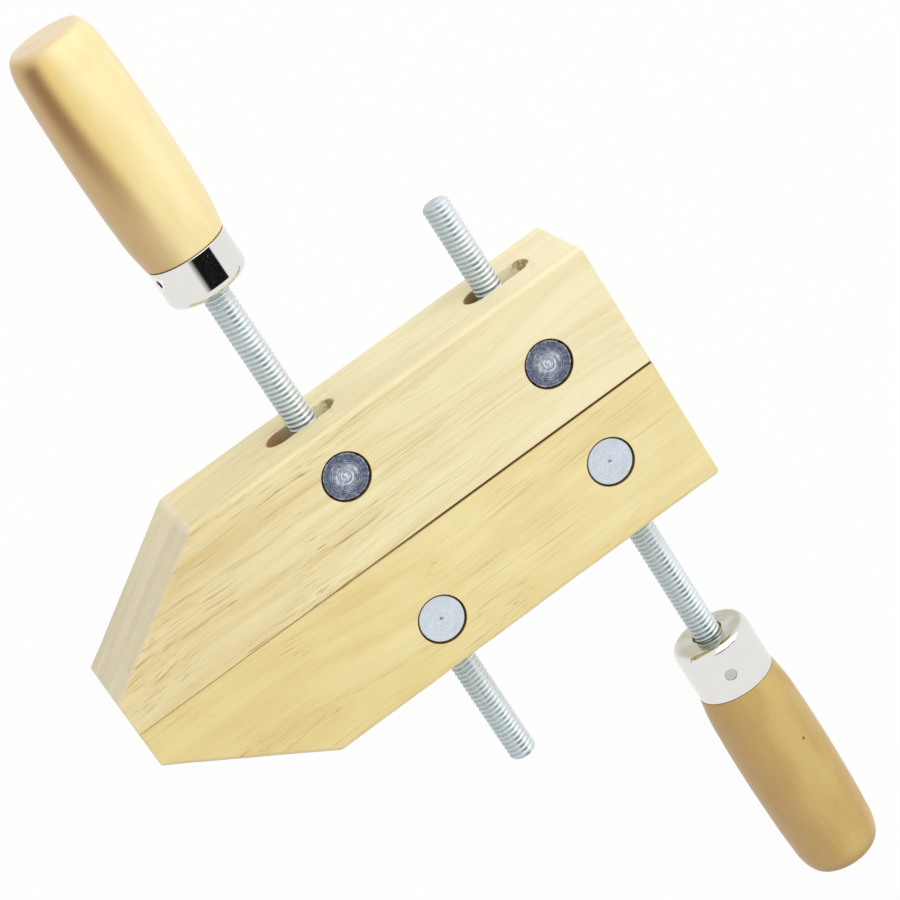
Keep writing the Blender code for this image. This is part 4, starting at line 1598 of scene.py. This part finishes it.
def make_floor(settings):
    """A wide pale floor. Most of what the camera sees of it glows plain white, and the
    rest takes the object's shadow."""
    half = 8.0
    mesh = bpy.data.meshes.new("floor")
    corners = [(-half, -half, 0.0), (half, -half, 0.0), (half, half, 0.0), (-half, half, 0.0)]
    mesh.from_pydata(corners, [], [(0, 1, 2, 3)])
    floor = linked("floor", mesh)
    material, tree, shader = matt("floor", settings.floor, 0.9)
    white = add(tree, "Emission", {"Color": (1.0, 1.0, 1.0), "Strength": 1.0})
    share_white = times(tree, seen_directly(tree), settings.floor_white)
    both = add(tree, "MixShader", {0: share_white, 1: shader.outputs[0], 2: white.outputs[0]})
    tree.links.new(both.outputs[0], tree.nodes["Material Output"].inputs["Surface"])
    mesh.materials.append(material)


def make_world(settings):
    """Soft light from all round, and plain white wherever it is seen directly or in a
    reflection."""
    world = bpy.data.worlds.new("studio")
    bpy.context.scene.world = world
    world.use_nodes = True
    tree = world.node_tree
    background = tree.nodes["Background"]
    background.inputs["Color"].default_value = (1.0, 1.0, 1.0, 1.0)
    strength = times(tree, seen_directly(tree), 1.0 - settings.sky, settings.sky)
    tree.links.new(strength, background.inputs["Strength"])


def make_lamp(name, place, size, brightness):
    """A square soft lamp that points at the origin. A face turned to it gains the given
    brightness: its power is pi squared times that brightness times the square of its
    distance."""
    data = bpy.data.lights.new(name, "AREA")
    data.size = size
    data.energy = brightness * (math.pi * math.dist(place, (0.0, 0.0, 0.0))) ** 2
    lamp = linked(name, data)
    lamp.location = place
    lamp.rotation_euler = (-Vector(place)).to_track_quat("-Z", "Y").to_euler()


def make_flag(name):
    """A black card over the front ferrule, seen only in reflections: an arc round the
    ferrule's axis, half a metre away. Its edge towards the nose is soft, and the one
    towards the heel is crisp. Turns are in degrees from straight up towards the heel."""
    x, _, z, _ = spindle_axis("front")
    y = centre("front_ferrule").y
    radius = 0.5
    nose_end, heel_end = -24.0, 50.0
    soft_turn, crisp_turn = 16.0, 3.0
    turn = np.linspace(nose_end, heel_end, 45)[:, None]
    away = np.linspace(-0.19, -0.11, 17)[None, :]
    rising = np.clip((turn - nose_end) / soft_turn, 0.0, 1.0)
    falling = np.clip((heel_end - turn) / crisp_turn, 0.0, 1.0)
    fade = rising * falling + 0 * away
    grid = np.stack(
        [
            x + radius * np.sin(np.radians(turn)) + 0 * away,
            y + away + 0 * turn,
            z + radius * np.cos(np.radians(turn)) + 0 * away,
        ],
        -1,
    )
    index = np.arange(fade.size).reshape(fade.shape)
    faces = np.stack([index[:-1, :-1], index[:-1, 1:], index[1:, 1:], index[1:, :-1]], -1)
    mesh = bpy.data.meshes.new(name)
    mesh.from_pydata(grid.reshape(-1, 3).tolist(), [], faces.reshape(-1, 4).tolist())
    stored = mesh.attributes.new("fade", "FLOAT", "POINT")
    stored.data.foreach_set("value", np.ascontiguousarray(fade, np.float32).ravel())
    card = linked(name, mesh)
    for ray in ("camera", "diffuse", "transmission", "volume_scatter", "shadow"):
        setattr(card, f"visible_{ray}", False)
    material, tree, shader = matt(name, (0.012, 0.012, 0.012), 1.0)
    seen = add(tree, "Attribute", attribute_name="fade").outputs["Fac"]
    tree.links.new(seen, shader.inputs["Alpha"])
    mesh.materials.append(material)


def make_camera(settings):
    """The camera at the photograph's viewing angle: its place from the clamping line, and
    its right, up and backward directions."""
    data = bpy.data.cameras.new("camera")
    data.lens = settings.lens
    data.sensor_width = 36.0
    data.clip_start = 0.05
    data.clip_end = 20.0
    camera = linked("camera", data)
    right = (0.801905, -0.509844, 0.311460)
    up = (0.584484, 0.777489, -0.232142)
    back = (-0.123800, 0.368199, 0.921468)
    clamping_line = (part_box("upper_jaw")[0].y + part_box("lower_jaw")[1].y) / 2
    place = (-0.09731, clamping_line + 0.39573, 0.98968)
    turned = Matrix((right, up, back)).transposed().to_4x4()
    camera.matrix_world = Matrix.Translation(place) @ turned
    bpy.context.scene.camera = camera


class MakeStage(bpy.types.Operator):
    """Make the floor, the lamps and the camera"""

    bl_idname = "clamp.make_stage"
    bl_label = "Make stage"

    def execute(self, context):
        settings = context.scene.clamp_stage
        make_floor(settings)
        make_world(settings)
        make_lamp("key_lamp", (0.55, 0.85, 1.05), 1.7, settings.key)
        make_flag("black_card")
        make_camera(settings)
        context.scene.view_settings.view_transform = "Standard"
        return {"FINISHED"}


# The add-on


class ClampPanel(bpy.types.Panel):
    """The clamp's settings and its makers"""

    bl_idname = "VIEW3D_PT_clamp"
    bl_label = "Hand screw clamp"
    bl_space_type = "VIEW_3D"
    bl_region_type = "UI"
    bl_category = "Clamp"

    def draw(self, context):
        for group, operator in MAKERS:
            box = self.layout.box()
            box.operator(operator.bl_idname)
            settings = getattr(context.scene, group)
            for name in settings.bl_rna.properties.keys():
                if name not in {"rna_type", "name"}:
                    box.prop(settings, name)


GROUPS = {
    "clamp_jaws": JawSettings,
    "clamp_nuts": NutSettings,
    "clamp_spindles": SpindleSettings,
    "clamp_ferrules": FerruleSettings,
    "clamp_handles": HandleSettings,
    "clamp_stage": StageSettings,
}
MAKERS = (
    ("clamp_jaws", MakeJaws),
    ("clamp_nuts", MakeNuts),
    ("clamp_spindles", MakeSpindles),
    ("clamp_ferrules", MakeFerrules),
    ("clamp_handles", MakeHandles),
    ("clamp_stage", MakeStage),
)
CLASSES = (*GROUPS.values(), *(operator for _, operator in MAKERS), ClampPanel)


def register():
    for made in CLASSES:
        bpy.utils.register_class(made)
    for name, group in GROUPS.items():
        setattr(bpy.types.Scene, name, PointerProperty(type=group))


def unregister():
    for name in GROUPS:
        delattr(bpy.types.Scene, name)
    for made in reversed(CLASSES):
        bpy.utils.unregister_class(made)


def main():
    """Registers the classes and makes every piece."""
    register()
    bpy.ops.clamp.make_jaws()
    bpy.ops.clamp.make_nuts()
    bpy.ops.clamp.make_spindles()
    bpy.ops.clamp.make_ferrules()
    bpy.ops.clamp.make_handles()
    bpy.ops.clamp.make_stage()


if __name__ == "__main__":
    main()
